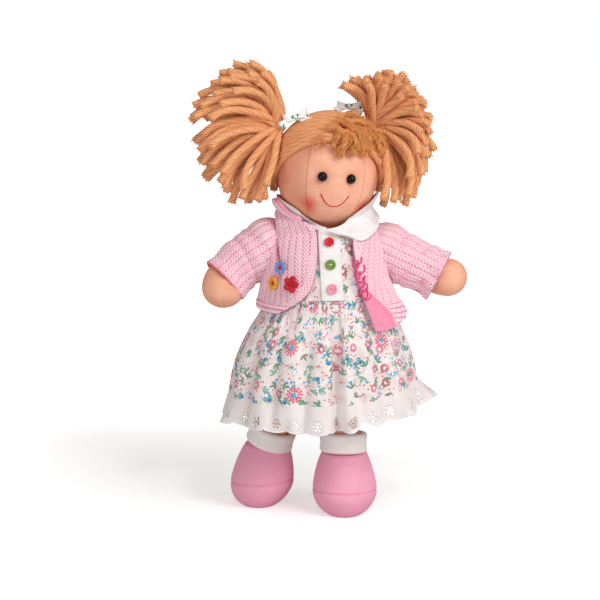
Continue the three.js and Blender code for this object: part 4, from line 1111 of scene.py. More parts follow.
def make_bows():
    for side, place in BOWS.items():
        centre = from_head(on_head(place["azimuth"], place["polar"], CAP_THICKNESS + place["standoff"]))
        tilt = turn_about((0, 1, 0), math.radians(place["tilt"])) @ turn_about((1, 0, 0), math.radians(-8))
        pile = Pile()
        rng = np.random.default_rng(place["seed"])
        for way in (-1, 1):
            t = np.linspace(0, 1, 40)
            swing = TAU * t
            out = 3.9 * (1 - np.cos(swing)) * (0.94 if way < 0 else 1.0)
            rise = 0.9 * np.sin(t * math.pi) * way + 0.1 * out
            path = np.stack([way * out, -2.6 * np.sin(swing), rise], -1)
            lean = np.stack([0.3 * way * np.sin(swing), 0.35 * np.cos(swing), np.ones_like(t)], -1)
            strip(pile, path @ tilt.T + centre, lean @ tilt.T, 2.6 + 3.6 * np.clip(out / 7.8, 0, 1))
            t = np.linspace(0, 1, 24)
            reach = rng.uniform(7.5, 9.5)
            path = np.stack([way * reach * t, -1.6 + 0.9 * np.sin(t * 5), -reach * 0.45 * t**1.3], -1)
            lean = np.stack([0.5 * way + 0 * t, 0.5 * np.sin(t * 4), np.ones_like(t)], -1)
            strip(pile, path @ tilt.T + centre, lean @ tilt.T, 3.0 + 1.6 * t)
        # The knot's tone of 0.9 greys it a little, as painted shade.
        pile.ball(centre, [1.9, 2.4, 2.1], 20, 12, tilt, tone=0.9)
        bow = ride(pile.make("bow_ribbon_" + side, RIBBON), "head", "ribbon", "bow_" + side)


make_bows()


# Body, neck, arms and legs


def dome(path, radius, start=True, end=True, steps=10):
    """The middles and radii of rings along a path, with a dome at either end, and their two directions."""
    along = unit(np.gradient(path, axis=0))
    radius = np.broadcast_to(radius, len(path)).astype(float)
    turn = np.linspace(0, math.pi / 2, steps + 1)[:-1]
    points, radii, ways = [path], [radius], [along]
    if start:
        points.insert(0, path[0] - along[0] * (radius[0] * np.cos(turn))[:, None])
        radii.insert(0, radius[0] * np.sin(turn) + 1e-3)
        ways.insert(0, np.tile(along[0], (steps, 1)))
    if end:
        points.append((path[-1] + along[-1] * (radius[-1] * np.cos(turn))[:, None])[::-1])
        radii.append((radius[-1] * np.sin(turn) + 1e-3)[::-1])
        ways.append(np.tile(along[-1], (steps, 1)))
    return np.vstack(points), np.concatenate(radii), np.vstack(ways)


def swept_rings(middles, radii, ways, sides, first=(0, -1.0, 0)):
    side = unit(first - (ways @ first)[:, None] * ways)
    return rings_about(middles, side, np.cross(ways, side), radii[:, None], turns(sides))


SHOULDERS = {"left": (-34.5, -1 + SETBACK, 165.5), "right": (36.0, SETBACK, 163.0)}
# Places from the shoulder: outwards, forwards and down
ELBOWS = {"left": (15.5, 1, 10), "right": (17, 1, 7.5)}
CUFFS = {"left": (27, 5, 20.5), "right": (33.5, 3, 16)}
HAND_TIPS = {"left": (31, 14, 35.5), "right": (51.4, 6, 17.5)}
HAND_RADIUS = {"left": 13.4, "right": 11.8}
ARM_RADIUS = 10.2
ARM_SEAMS = {"left": 200, "right": 118}  # degrees round the arm
SLEEVE_RADIUS = {"left": 18.0, "right": 17.5}
SLEEVE_END = 14.8


def from_shoulder(side, place):
    out, forward, down = place
    way = -1 if side == "left" else 1
    return SHOULDERS[side] + np.array([way * out, -forward, -down])


def make_arm(side):
    tip = from_shoulder(side, HAND_TIPS[side])
    cuff = from_shoulder(side, CUFFS[side])
    palm = tip + unit(cuff - tip) * HAND_RADIUS[side]
    path = through([SHOULDERS[side], from_shoulder(side, ELBOWS[side]), cuff, palm], 70)
    radius = ARM_RADIUS + (HAND_RADIUS[side] - ARM_RADIUS) * smooth(0.62, 1, np.linspace(0, 1, 70))
    middles, radii, ways = dome(path, radius, steps=16)
    sides = 96
    rings = swept_rings(middles, radii, ways, sides)
    reach = radii[:, None]
    groove = bell(wrapped(turns(sides) - math.radians(ARM_SEAMS[side])) * reach, 0.7)
    ripple = 0.35 * lumps(rings, 9, 51 if side == "left" else 52) - 0.45 * groove
    rings = rings + unit(rings - middles[:, None] + 1e-9) * np.where(reach > 2, ripple, 0)[..., None]
    pile = Pile()
    pile.closed(rings, middles[0], middles[-1], tone=1 - 0.55 * groove)
    arm = ride(pile.make("arm_cloth_" + side, SKIN), "arm_" + side, "skin_cloth", "arm_" + side)


NECK = {"ends": (-40, -12), "radius": 9.0}  # heights in the head's frame
LOWER_BODY = {"middle": (TORSO["x"], SETBACK, 108.0), "radii": (36.0, 30.0, 30.0)}


def make_torso():
    height = np.linspace(TORSO["bottom"], TORSO["end"], 50)[:, None]
    pile = Pile()
    ends = [[TORSO["x"], TORSO["y"], TORSO[end]] for end in ("bottom", "end")]
    pile.closed(body_point(height, turns(96), 0), *ends, tone=1.0)
    torso = ride(pile.make("torso_cloth", SKIN), "torso", "skin_cloth", "torso")
    pile = Pile()
    path = from_head([[0, 0, height] for height in np.linspace(*NECK["ends"], 16)])
    pile.strand(path, NECK["radius"], 40, tone=1.0)
    neck = ride(pile.make("neck_cloth", SKIN), "neck", "skin_cloth", "neck")
    pile = Pile()
    pile.ball(LOWER_BODY["middle"], LOWER_BODY["radii"], 72, 40, tone=1.0)
    hips = ride(pile.make("lower_body_cloth", SKIN), "lower_body", "skin_cloth", "lower_body")


LEGS = {
    "right": {"hip": (13, 0), "knee": (12.4, -4, 21), "ankle": (11.6, -8), "boot": (12.2, -9), "lean": 0},
    "left": {"hip": (-15, 1), "knee": (-24.2, 3, 20), "ankle": (-33.6, 7), "boot": (-41.5, 13), "lean": 5},
}
LEG_RADIUS = 9.4
LEG_ROOT_RADIUS = 12.0
LEG_DEPTH_IN_BOOT = 13.0
HIP_HEIGHT = 86.0
BOOT_SIZE = {"width": 40.0, "length": 50.0, "height": 37.0}
BOOT_SHARES = np.array([
    # height, width, length, place along the length (towards the toe)
    [0, 0.58, 0.68, 0.05],
    [0.06, 0.74, 0.8, 0.05],
    [0.16, 0.88, 0.91, 0.055],
    [0.35, 1, 1, 0.06],
    [0.52, 0.97, 0.95, 0.045],
    [0.74, 0.88, 0.84, 0.02],
    [0.9, 0.78, 0.74, 0],
    [1, 0.7, 0.64, -0.01],
])
CUFF = {"radius": 15.0, "height": 12.5, "roundings": (2.4, 2.2)}
CUFF_MIDDLE = BOOT_SIZE["height"] + CLEARANCE + CUFF["height"] / 2


def leg_path(side):
    leg = LEGS[side]
    x, y, drop = leg["knee"]
    last = (np.array(leg["ankle"]) + leg["boot"]) / 2
    points = [
        (*leg["hip"], HIP_HEIGHT),
        (x, y, HIP_HEIGHT - drop),
        (*leg["ankle"], CUFF_MIDDLE),
        (*last, BOOT_SIZE["height"] - LEG_DEPTH_IN_BOOT),
    ]
    return through(points, 60) + np.array([0, SETBACK, 0])


def make_leg(side):
    path = leg_path(side)
    near_root = np.clip(1 - np.linspace(0, 1, 60) / 0.15, 0, 1) ** 2
    middles, radii, ways = dome(path, LEG_RADIUS + (LEG_ROOT_RADIUS - LEG_RADIUS) * near_root, end=False)
    pile = Pile()
    pile.closed(swept_rings(middles, radii, ways, 48), middles[0], middles[-1], tone=1.0)
    leg = ride(pile.make("leg_cloth_" + side, SKIN), "leg_" + side, "skin_cloth", "leg_" + side)


def make_cuff(side):
    """The sock's rolled cuff, as a ring whose section is given by distance from the leg's line and height."""
    path = leg_path(side)
    at = int(np.argmin(np.abs(path[:, 2] - CUFF_MIDDLE)))
    up = unit(path[at - 1] - path[at + 1])
    half, reach = CUFF["height"] / 2, CUFF["radius"]
    low, high = CUFF["roundings"]
    section = [(reach + low * (math.cos(t) - 1), low * (math.sin(t) + 1) - half)
               for t in np.radians(np.linspace(-90, 0, 8))]
    section += [(reach - 0.35, -half * 0.3), (reach - 0.5, 0), (reach - 0.3, half * 0.3)]
    section += [(reach + high * (math.cos(t) - 1), half + high * (math.sin(t) - 1))
                for t in np.radians(np.linspace(0, 100, 9))]
    section += [
        (reach - 4.5, half - 0.8), (10.6, half - 1.4), (9.8, 0), (9.8, -half + 0.3), (reach - 4, -half),
    ]
    out, rise = np.array(section).T[..., None, None]
    across = unit(np.cross(up, [0, 1.0, 0]))
    angle = turns(96)[:, None]
    ring = path[at] + out * (np.cos(angle) * across + np.sin(angle) * np.cross(up, across)) + rise * up
    sag = 0.3 * lumps(ring, 12, 61 if side == "left" else 62)
    ring = ring + unit(ring - path[at]) * sag[..., None]
    pile = Pile()
    pile.grid(np.concatenate([ring, ring[:1]]), wrap=True, tone=1.0)
    cuff = pile.make("sock_cuff_cloth_" + side, SOCK)
    ride(cuff, "leg_" + side, "white_cotton", "sock_cuff_" + side)


def make_boot(side):
    leg = LEGS[side]
    seed = 71 if side == "left" else 72
    share = np.linspace(0, 1, 110)[:, None]
    half_width, half_length, toe = (
        BOOT_SIZE[way] * part * table(BOOT_SHARES, share, k)
        for k, way, part in ((1, "width", 0.5), (2, "length", 0.5), (3, "length", 1.0))
    )
    angle = turns(150)
    height = BOOT_SIZE["height"] * share
    x, y = leg["boot"][0] + leg["lean"] * share, leg["boot"][1] + SETBACK - toe
    middles = np.concatenate([x, y, height], 1)
    rings = [x + half_width * np.cos(angle), y + half_length * np.sin(angle), height]
    rings = np.stack(np.broadcast_arrays(*rings), -1)
    seam_height = 14.5 - 2.0 * np.sin(angle) + (1.0 if side == "left" else 0.0) * np.cos(angle)
    off = height - seam_height
    rng = np.random.default_rng(seed)
    pucker = 0.0
    for _ in range(26):
        pucker = pucker + rng.uniform(0.3, 1.0) * bell(wrapped(angle - rng.uniform(0, TAU)), 0.035)
    groove = bell(off, 0.55)
    dent = 0.6 * groove + 0.5 * bell(off, 2.6) * pucker + 0.18 * bell(off, 3.5)
    dent -= 0.3 * lumps(rings, 15, seed + 2)
    rings = rings - unit(rings - rings.mean(1, keepdims=True)) * (dent * smooth(0, 3, height))[..., None]
    rings[..., 2] = np.maximum(rings[..., 2], 0)
    pile = Pile()
    pile.closed(rings, middles[0], middles[-1], tone=1 - 0.75 * groove)
    boot = ride(pile.make("boot_cloth_" + side, BOOT), "leg_" + side, "boot_cloth", "boot_" + side)


make_torso()
for side in ("left", "right"):
    make_arm(side)
    make_leg(side)
    make_cuff(side)
    make_boot(side)


# Dress

BODICE = {"bottom": 130.2, "top": 177.0, "thickness": 1.2, "mean_radius": 36.0}


def make_bodice():
    rows, columns = 70, 300
    height = np.linspace(BODICE["bottom"], BODICE["top"], rows)[:, None]
    outer = body_point(height, turns(columns), BODICE_LIFT)
    out = normals(outer, True)
    outer = outer + out * 0.5 * lumps(outer * np.array([1, 1, 0.35]), 6, 81)[..., None]
    uv = np.stack(np.broadcast_arrays(np.linspace(0, TAU, columns + 1) * BODICE["mean_radius"], height), -1)
    pile = Pile()
    pile.shell(outer, outer - out * BODICE["thickness"], uv, True, tone=1.0)
    bodice = ride(pile.make("bodice_cloth", FLORAL), "torso", "floral_cotton", "dress_bodice")


PLACKET_LIFT = BODICE_LIFT + CLEARANCE + PLACKET["thickness"]
PLACKET_HEIGHT = PLACKET["top"] - PLACKET["bottom"]


def placket_middle(v):
    """Height and sideways place of the placket's middle line, at a share of the way up."""
    height = PLACKET["bottom"] + PLACKET_HEIGHT * v
    return height, PLACKET["x_bottom"] + (PLACKET["x_top"] - PLACKET["x_bottom"]) * v


def placket_point(u, v, grow):
    height, middle = placket_middle(v)
    return body_point(height, azimuth_at(height, middle + PLACKET["width"] * (u - 0.5), grow), grow)


def make_placket():
    u, v = np.linspace(0, 1, 61), np.linspace(0, 1.09, 126)[:, None]
    outer = placket_point(u, v, PLACKET_LIFT)
    inner = placket_point(u, v, PLACKET_LIFT - 1.0)
    off = np.minimum(u, 1 - u) * PLACKET["width"]
    stitched = bell(off - 1.5, 0.22)
    dashes = 0.5 + 0.5 * np.sign(np.sin(v * PLACKET_HEIGHT * TAU / 2.2))
    outer[..., 1] -= 0.3 * lumps(outer, 7, 82) - 0.28 * stitched - 0.5 * bell(off, 0.5)
    uv = np.stack(np.broadcast_arrays(u * PLACKET["width"], v * PLACKET_HEIGHT), -1)
    pile = Pile()
    pile.shell(outer, inner, uv, tone=1 - 0.6 * stitched * dashes)
    placket = ride(pile.make("placket_cloth", WHITE), "torso", "white_cotton", "placket")


def seat_on_body(height, x, grow):
    """A place on the body's front and a turn that sets a flat piece against it."""
    azimuth = azimuth_at(height, x, grow)
    at, aside, above = (body_point(np.float64(height + up), azimuth + turn, grow)
                        for up, turn in ((0, 0), (0, 0.02), (1, 0)))
    across = unit(aside - at)
    facing = unit(np.cross(across, unit(above - at)))
    return at, np.stack([across, np.cross(facing, across), facing], 1)


BUTTONS = {
    # share up the placket, disc, thread, places of the holes, threads from hole to hole
    "red": (0.893, RED, RED, 0.8, ((-1, -1, 1, 1, 0), (-1, 1, 1, -1, 0)), 0.17),
    "green": (0.556, GREEN, THREAD, 0.95, ((-1, 0, 1, 0, -0.16), (-1, 0, 1, 0, 0.16)), 0.2),
    "pink": (0.182, PINK, PINK, 0.95, ((-1, 0, 1, 0, -0.16), (-1, 0, 1, 0, 0.16)), 0.2),
}
BUTTON_PROFILE = np.array([
    # radius and height, from the rim's foot to the middle
    [2.6, 0.0], [3.0, 0.12], [3.15, 0.5], [3.12, 0.95], [2.95, 1.35], [2.7, 1.55], [2.45, 1.55],
    [2.2, 1.35], [1.95, 1.12], [1.6, 1.05], [1.1, 1.03], [0.5, 1.03],
])


def make_buttons():
    fine = np.linspace(0, len(BUTTON_PROFILE) - 1, 44)
    places = np.arange(len(BUTTON_PROFILE))
    radius, rise = (np.interp(fine, places, each)[:, None] for each in BUTTON_PROFILE.T)
    angle = turns(96)
    for colour, (share, disc, thread, off, threads, thick) in BUTTONS.items():
        at, turn = seat_on_body(*placket_middle(share), PLACKET_LIFT + CLEARANCE)
        lobes = 1.0
        if colour == "red":
            lobes = 1 - 0.13 * (1 - np.abs(np.sin(3 * angle))) * smooth(1.2, 2.6, radius)
        x, y = radius * lobes * np.cos(angle), radius * lobes * np.sin(angle)
        holes = {(off * x, off * y) for a, b, c, d, _ in threads for x, y in ((a, b), (c, d))}
        z = rise + 0 * angle
        for hole in sorted(holes, key=lambda place: place[::-1]):
            z = z - 0.75 * smooth(0.62, 0.34, np.hypot(x - hole[0], y - hole[1])) * (rise > 0.9)
        pile = Pile()
        pile.closed(np.stack([x, y, z], -1) @ turn.T + at, at, at + turn @ np.array([0, 0, 1.03]))
        t = np.linspace(0, 1, 12)
        for a, b, c, d, shift in threads:
            height = 0.75 + 0.62 * np.sin(t * math.pi) ** 0.6
            line = np.stack([off * (a + (c - a) * t), off * (b + (d - b) * t) + shift, height], -1)
            pile.strand(line @ turn.T + at, thick, 6, slot=1)
        button = pile.make("button_disc_" + colour, disc, thread)
        ride(button, "torso", "button_" + colour, "button_" + colour)


COLLAR = {
    "width": {"left": 6.0, "right": 12.5}, "radius": {"left": 23.6, "right": 28.0}, "height": 188.0,
    "dip": 9.5, "narrowing": 9.0, "spread": math.radians(174), "slant": 0.13,
    "thickness": 1.3, "head_gap": 1.5,
}


COLLAR_WIDTHS = {
    # share of the way round from the front, share of the full width
    "right": [[0, 0.5], [0.08, 0.9], [0.17, 0.95], [0.28, 0.75], [0.42, 0.45], [0.6, 0.32], [1, 0.3]],
    "left": [[0, 0.5], [0.1, 1], [0.5, 0.8], [1, 0.5]],
}
COLLAR_STANDS = {
    # share of the way round from the front, height of the collar's upper edge over the neckline
    "right": [[0, 0.5], [0.13, 1], [0.3, 6], [0.5, 11], [0.62, 6.5], [0.85, 3], [1, 3]],
    "left": [[0, 0.5], [0.13, 2.5], [0.26, 6], [0.5, 8], [0.8, 5], [1, 4]],
}


COLLAR_LIFTS = {"right": CARDIGAN_LIFT + KNIT_THICKNESS + 2 * CLEARANCE, "left": BODICE_LIFT + CLEARANCE}


def collar_point(side, u, v, grow):
    """u runs from end to end, v from the lower edge (0) to the neckline (1) and up the stand (2)."""
    way = 1 if side == "right" else -1
    around = u if way > 0 else 1 - u
    below, above = np.maximum(0, 1 - v), np.maximum(0, v - 1)
    azimuth = way * COLLAR["spread"] * (around + COLLAR["slant"] * (1 - around) ** 2 * below)
    frontness = (1 + np.cos(azimuth)) / 2
    drop = COLLAR["width"][side] * table(COLLAR_WIDTHS[side], around, 1) * below
    height = COLLAR["height"] - COLLAR["dip"] * frontness ** 8 - drop
    radius = COLLAR["radius"][side] - COLLAR["narrowing"] * frontness ** 6 + 0.9 * drop
    slope = grow * math.sqrt(0.5)
    wide, deep = torso_halves(height, COLLAR_LIFTS[side])
    wide, deep = np.maximum(radius, wide) + slope, np.maximum(0.95 * radius, deep) + slope
    height = height + table(COLLAR_STANDS[side], around, 1) * above + slope
    return clear_of_head(oval(TORSO["x"], TORSO["y"], wide, deep, azimuth, height), COLLAR["head_gap"] + grow)


def make_collars():
    u = np.linspace(0, 1, 170)
    v = np.concatenate([np.linspace(0, 1, 36), np.linspace(1, 2, 25)[1:]])[:, None]
    for side, size in (("left", (0.094, 0.0108)), ("right", (0.092, 0.0185))):
        base = collar_point(side, u, v, 0.0)
        inside = np.minimum(run(base), np.minimum(u, 1 - u) * 62)
        puff = 0.5 * smooth(0, 1.6, inside) - 0.25 * bell(inside - 2.0, 0.35) + 0.25 * lumps(base, 9, 85)
        outer = collar_point(side, u, v, COLLAR["thickness"] * 0.6 + puff)
        pile = Pile()
        pile.shell(outer, base, tone=1 - 0.35 * bell(inside - 2.0, 0.3))
        collar = ride(pile.make("collar_cloth_" + side, WHITE), "torso", "white_cotton", "collar_" + side)


SKIRT_VALLEYS = [
    # degrees round from the front towards +X, depth and width in degrees of each fold
    (-84, 3.2, 7), (-55, 4.2, 6), (-33, 3.6, 4.5), (-12.5, 4.4, 4.5), (8.3, 8.0, 3.6), (22, 3.4, 4),
    (40, 4.6, 6), (70, 2.8, 8), (98, 2.8, 8), (128, 3.0, 8), (156, 2.8, 8), (184, 3.0, 8), (212, 2.8, 8),
    (240, 2.8, 8),
]
SKIRT_CLOTH = {"thickness": 0.8, "around": 372.0, "down": 66.0}  # U and V cover the last two


def fold_depth(azimuth):
    """How far in the skirt's surface lies at an azimuth, in millimetres at the hem."""
    folds = (depth * bell(np.degrees(wrapped(azimuth - math.radians(place))), width)
             for place, depth, width in SKIRT_VALLEYS)
    return sum(folds) - 1.2


def right_side(azimuth):
    """1 at the side towards +X, and 0 from the front round the left to the back."""
    return np.maximum(0, np.sin(azimuth)) ** 2


def hem_point(azimuth, out, down):
    out = out - fold_depth(azimuth)
    height = SKIRT["hem"] + SKIRT["rise"] * right_side(azimuth) - down
    return oval(SKIRT["x"], SKIRT["y"], SKIRT["width"] / 2 + out, SKIRT["depth"] / 2 + out, azimuth, height)


def make_skirt():
    rows, columns = 110, 480
    azimuth = turns(columns) - math.pi
    down = np.linspace(1, 0, rows)[:, None]
    spread = table(SKIRT_SHARES, down, 1)[..., None]
    top = body_point(SKIRT["waist"] + 0 * azimuth, azimuth, BODICE_LIFT + 0.9)
    bottom = hem_point(azimuth, 0.0, 0.0)
    outer = top * (1 - spread) + bottom * spread
    outer[..., 2] = top[..., 2] + (bottom[..., 2] - top[..., 2]) * down
    out = normals(outer, True)
    rng = np.random.default_rng(91)
    gathers = np.zeros((rows, columns))
    for _ in range(80):
        place, length = rng.uniform(-math.pi, math.pi), rng.uniform(0.2, 0.95)
        off = wrapped(azimuth - place - 0.1 * down * rng.uniform(-1, 1))
        gathers -= rng.uniform(0.5, 1.2) * bell(off, rng.uniform(0.025, 0.05)) * smooth(length, 0, down)
    gathers += 0.7 * lumps(outer * np.array([1, 1, 0.5]), 8, 92) * smooth(0, 0.4, down)
    middle_fold = bell(azimuth - math.radians(8.3) - 0.03 * np.sin(5 * down), 0.045)
    gathers -= 2.4 * middle_fold * smooth(0.01, 0.12, down) * (1 - 0.5 * down)
    outer = outer + out * (gathers * smooth(0, 0.04, down))[..., None]
    outer[..., 2] += 0.6 * lumps(outer, 14, 93) * smooth(0.85, 1, down)
    around = np.linspace(0, 1, columns + 1) * SKIRT_CLOTH["around"]
    uv = np.stack(np.broadcast_arrays(around, (1 - down) * SKIRT_CLOTH["down"]), -1)
    # The tone darkens the creases and folds as painted shade.
    fold_shade = np.clip(-gathers, 0, 1) + 0.1 * np.clip(fold_depth(azimuth), 0, 4) * smooth(0.2, 0.8, down)
    pile = Pile()
    pile.shell(outer, outer - out * SKIRT_CLOTH["thickness"], uv, True, tone=1 - 0.5 * np.clip(fold_shade, 0, 1))
    skirt = stand_in(pile.make("skirt_cloth", FLORAL), "floral_cotton", "skirt")
    return skirt


SCALLOP = 13.5  # about the length of one along the hem
EYELETS = {"height": 4.9, "ring": 2.1, "middle": 0.95, "petal": 0.78}  # radii, and the height over the edge
PETALS = ([-60, 0, 60, 120, 180, 240], [-90, -18, 54, 126, 198])  # degrees, in every other scallop


def make_lace():
    columns, rows = 860, 36
    azimuth = turns(columns) - math.pi
    ring = hem_point(azimuth, 0.0, 0.0)
    around = run(np.vstack([ring, ring[:1]]))
    scallops = round(around[-1] / SCALLOP)
    pitch = around[-1] / scallops
    along = around[:-1]
    side = right_side(azimuth)
    scallop = np.sqrt(np.clip(1 - (2 * ((along / pitch) % 1 - 0.5)) ** 2, 0, 1)) - 0.75
    depth = LACE["height"] - LACE["side_lift"] * side + 1.9 * scallop
    depth = depth - 3.5 * bell(azimuth - math.radians(23), math.radians(6))
    share = np.linspace(0, 1, rows)[:, None]
    flare = (LACE["flare"] + LACE["side_flare"] * side) * share
    wave = 1.9 * np.sin(along * TAU / (pitch * 2.4) + 1.0) + 1.3 * np.sin(along * TAU / (pitch * 1.4))
    outer = hem_point(azimuth, flare + wave * share ** 1.3 - 0.5, (depth + 0.8) * share - 0.8)
    out = normals(outer, True)
    edge = (1 - share) * depth
    roll = 0.45 * bell(edge - 0.75, 0.65) * (0.8 + 0.2 * np.sin(along * TAU / 0.9))
    outer = outer + out * roll[..., None]
    holes = []
    for k in range(scallops):
        x, y = (k + 0.5) * pitch, EYELETS["height"]
        holes.append((x, y, EYELETS["middle"]))
        for turn in np.radians(PETALS[k % 2]):
            aside, above = EYELETS["ring"] * math.cos(turn), EYELETS["ring"] * math.sin(turn)
            holes.append((x + aside, y + above, EYELETS["petal"]))
    kept = np.ones((rows, columns), bool)
    for x, y, radius in holes:
        kept &= np.hypot(along - x, edge - y) > radius

    # Only the faces between the holes are kept, and every free edge gets a rim
    solid = kept.ravel()[grid_faces(rows, columns, True)].all(1)
    face, uv_face = grid_faces(rows, columns, True)[solid], grid_faces(rows, columns + 1)[solid]
    count = rows * columns
    a, b, uv_a, uv_b = (np.concatenate([each[:, (k + shift) % 4] for k in range(4)])
                        for each in (face, uv_face) for shift in (0, 1))
    key = np.minimum(a, b) * count + np.maximum(a, b)
    _, first, uses = np.unique(key, return_index=True, return_counts=True)
    a, b, uv_a, uv_b = (each[first[uses == 1]] for each in (a, b, uv_a, uv_b))
    faces = [face, face[:, ::-1] + count, np.stack([b, a, a + count, b + count], -1)]
    uv_faces = [uv_face, uv_face[:, ::-1], np.stack([uv_b, uv_a, uv_a, uv_b], -1)]
    uv = np.stack(np.broadcast_arrays(around, np.concatenate([edge, edge[:, :1]], 1)), -1)
    tones = np.clip(0.72 + 0.28 * bell(edge - 0.8, 1.0), 0, 1).ravel()
    pile = Pile()
    pile.add(np.concatenate([outer, outer - out * 0.5]), faces, uv, uv_faces, np.concatenate([tones, tones]))
    for x, y, radius in holes:
        column = int(np.argmin(np.abs(along - x)))
        row = int(np.argmin(np.abs(edge[:, column] - y)))
        across = unit(outer[row, (column + 1) % columns] - outer[row, column - 1])
        facing = out[row, column]
        middle = outer[row, column] + facing * 0.05
        ring = circle(middle, radius + 0.12, across, np.cross(facing, across), 15)
        pile.strand(ring, 0.3, 6, bulge=0, tone=1.0)
    lace = stand_in(pile.make("lace_cloth", LACE_WHITE), "lace", "lace_edging")
    return lace


make_bodice()
make_placket()
make_buttons()
make_collars()
for hanging in (make_skirt(), make_lace()):
    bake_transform(hanging)


# Cardigan and sleeves

COLUMN = 5.2  # width of a column of stitches
ROW = 2.3  # height of a row
RELIEF = 1.2  # how far the stitches stand out
KNIT_SURFACE = CARDIGAN_LIFT + KNIT_THICKNESS
BAND = {"side": 5.2, "hem": 5.4, "neck": 2.2}  # widths of the cardigan's borders
FACING_WIDTH = 14.5


def stitches(across, along, column=COLUMN):
    """Height of knitting from 0 to 1: slanting stitches that meet in Vs, with a groove at every turn."""
    x = (across / column) % 1 - 0.5
    leg = (0.5 + 0.5 * np.cos(TAU * (along / ROW - 2.5 * np.abs(x)))) ** 0.5
    rib = 0.4 + 0.6 * np.abs(np.cos(math.pi * x)) ** 0.4 * (1 - 0.35 * bell(x, 0.07))
    return rib * (0.3 + 0.7 * leg)


def ridge(place, power=1.0):
    """Rounded ridges, one to each unit."""
    return np.abs(np.sin(math.pi * place)) ** power


FRONT_EDGES = {
    # share up the cardigan, distance of the edge from the middle line as a share of half the torso's width
    "left": [
        [0, -0.8], [0.05, -0.68], [0.11, -0.53], [0.18, -0.39], [0.26, -0.28], [0.44, -0.19], [0.8, -0.17],
        [1, -0.3],
    ],
    "right": [[0, 0.72], [0.1, 0.68], [0.26, 0.58], [0.5, 0.49], [0.72, 0.43], [1, 0.5]],
}
FLAP = {"reach": 13.0, "drop": 9.5, "height": 26.0, "angle": math.radians(60), "spread": math.radians(38)}


CARDIGAN_HEIGHT = CARDIGAN["top"] - CARDIGAN["bottom"]


def edge_azimuth(side, height, grow):
    share = np.clip((height - CARDIGAN["bottom"]) / CARDIGAN_HEIGHT, 0, 1)
    return azimuth_at(height, TORSO["x"] + TORSO["width"] / 2 * table(FRONT_EDGES[side], share, 1), grow)


CARDIGAN_CLIMB = [
    # share of the way round from the right front edge, rise of the neckline where it leans on the head
    [0, 0], [0.7, 0], [0.8, 7], [0.86, 10], [0.91, 11], [0.965, 10], [0.99, 7], [1, 5],
]
NECK_RING = {"wide": 23.5, "deep": 21.5, "slope": 6.5}  # where that part of the neckline lies at least


def cardigan_point(u, v, grow):
    """u runs from the right front edge round the back to the left front edge, and v up."""
    frontness = (np.cos(TAU * u) + 1) / 2
    dip = CARDIGAN["dip"] * frontness ** CARDIGAN["dip_power"] + CARDIGAN["back_dip"] * (1 - frontness) ** 2
    climb = table(CARDIGAN_CLIMB, u, 1)
    height = CARDIGAN["bottom"] + (CARDIGAN_HEIGHT - dip + climb) * v
    start = edge_azimuth("right", height, grow)
    azimuth = start + (TAU + edge_azimuth("left", height, grow) - start) * u
    point = body_point(height, azimuth, grow)
    middle = np.array([TORSO["x"], TORSO["y"]])
    off = point[..., :2] - middle
    wide = NECK_RING["wide"] + grow + NECK_RING["slope"] * smooth(193, 178, height) * np.sin(azimuth) ** 2
    ring = np.hypot(off[..., 0] / wide, off[..., 1] / (NECK_RING["deep"] + grow))
    push = 1 + (np.maximum(1, 1 / ring) - 1) * np.clip(climb / 8, 0, 1)
    point[..., :2] = middle + off * push[..., None]

    # The lower corner, turned out
    near = np.maximum(0, 1 - np.abs(azimuth - FLAP["angle"]) / FLAP["spread"])
    low = np.maximum(0, 1 - (height - CARDIGAN["bottom"]) / FLAP["height"]) ** 2
    point[..., 0] += FLAP["reach"] * near * low * np.sin(azimuth)
    point[..., 1] -= FLAP["reach"] * near * low * np.cos(azimuth)
    point[..., 2] -= FLAP["drop"] * low * smooth(math.radians(72), math.radians(44), azimuth)
    return clear_of_head(point, 3.8 + grow - CARDIGAN_LIFT), azimuth


def hem_strip(pile, edge, inward, depth, out, tone=0.5):
    """Turns the edge of a cloth over: a rounded rim and a short way back inside."""
    half = KNIT_THICKNESS / 2
    turn = np.linspace(0, math.pi, 7)
    rows = [edge - out * half * (1 - math.cos(t)) + inward * half * math.sin(t) for t in turn]
    rows += [rows[-1] + inward * depth * s for s in (0.5, 1.0)]
    pile.grid(np.stack(rows), tone=tone)


def stitch_places(height, azimuth, grow):
    """How far along the outline a place lies from the middle of the front, or on the back from the middle
    of the back."""
    ring = np.linspace(0, math.pi, 181)
    turned = np.abs(wrapped(azimuth))
    places = np.empty_like(azimuth)
    for row, level in enumerate(height):
        along = run(body_point(level.mean(), ring, grow))
        place = np.interp(turned[row], ring, along)
        places[row] = np.where(turned[row] < math.pi / 2, place, along[-1] - place)
    return places


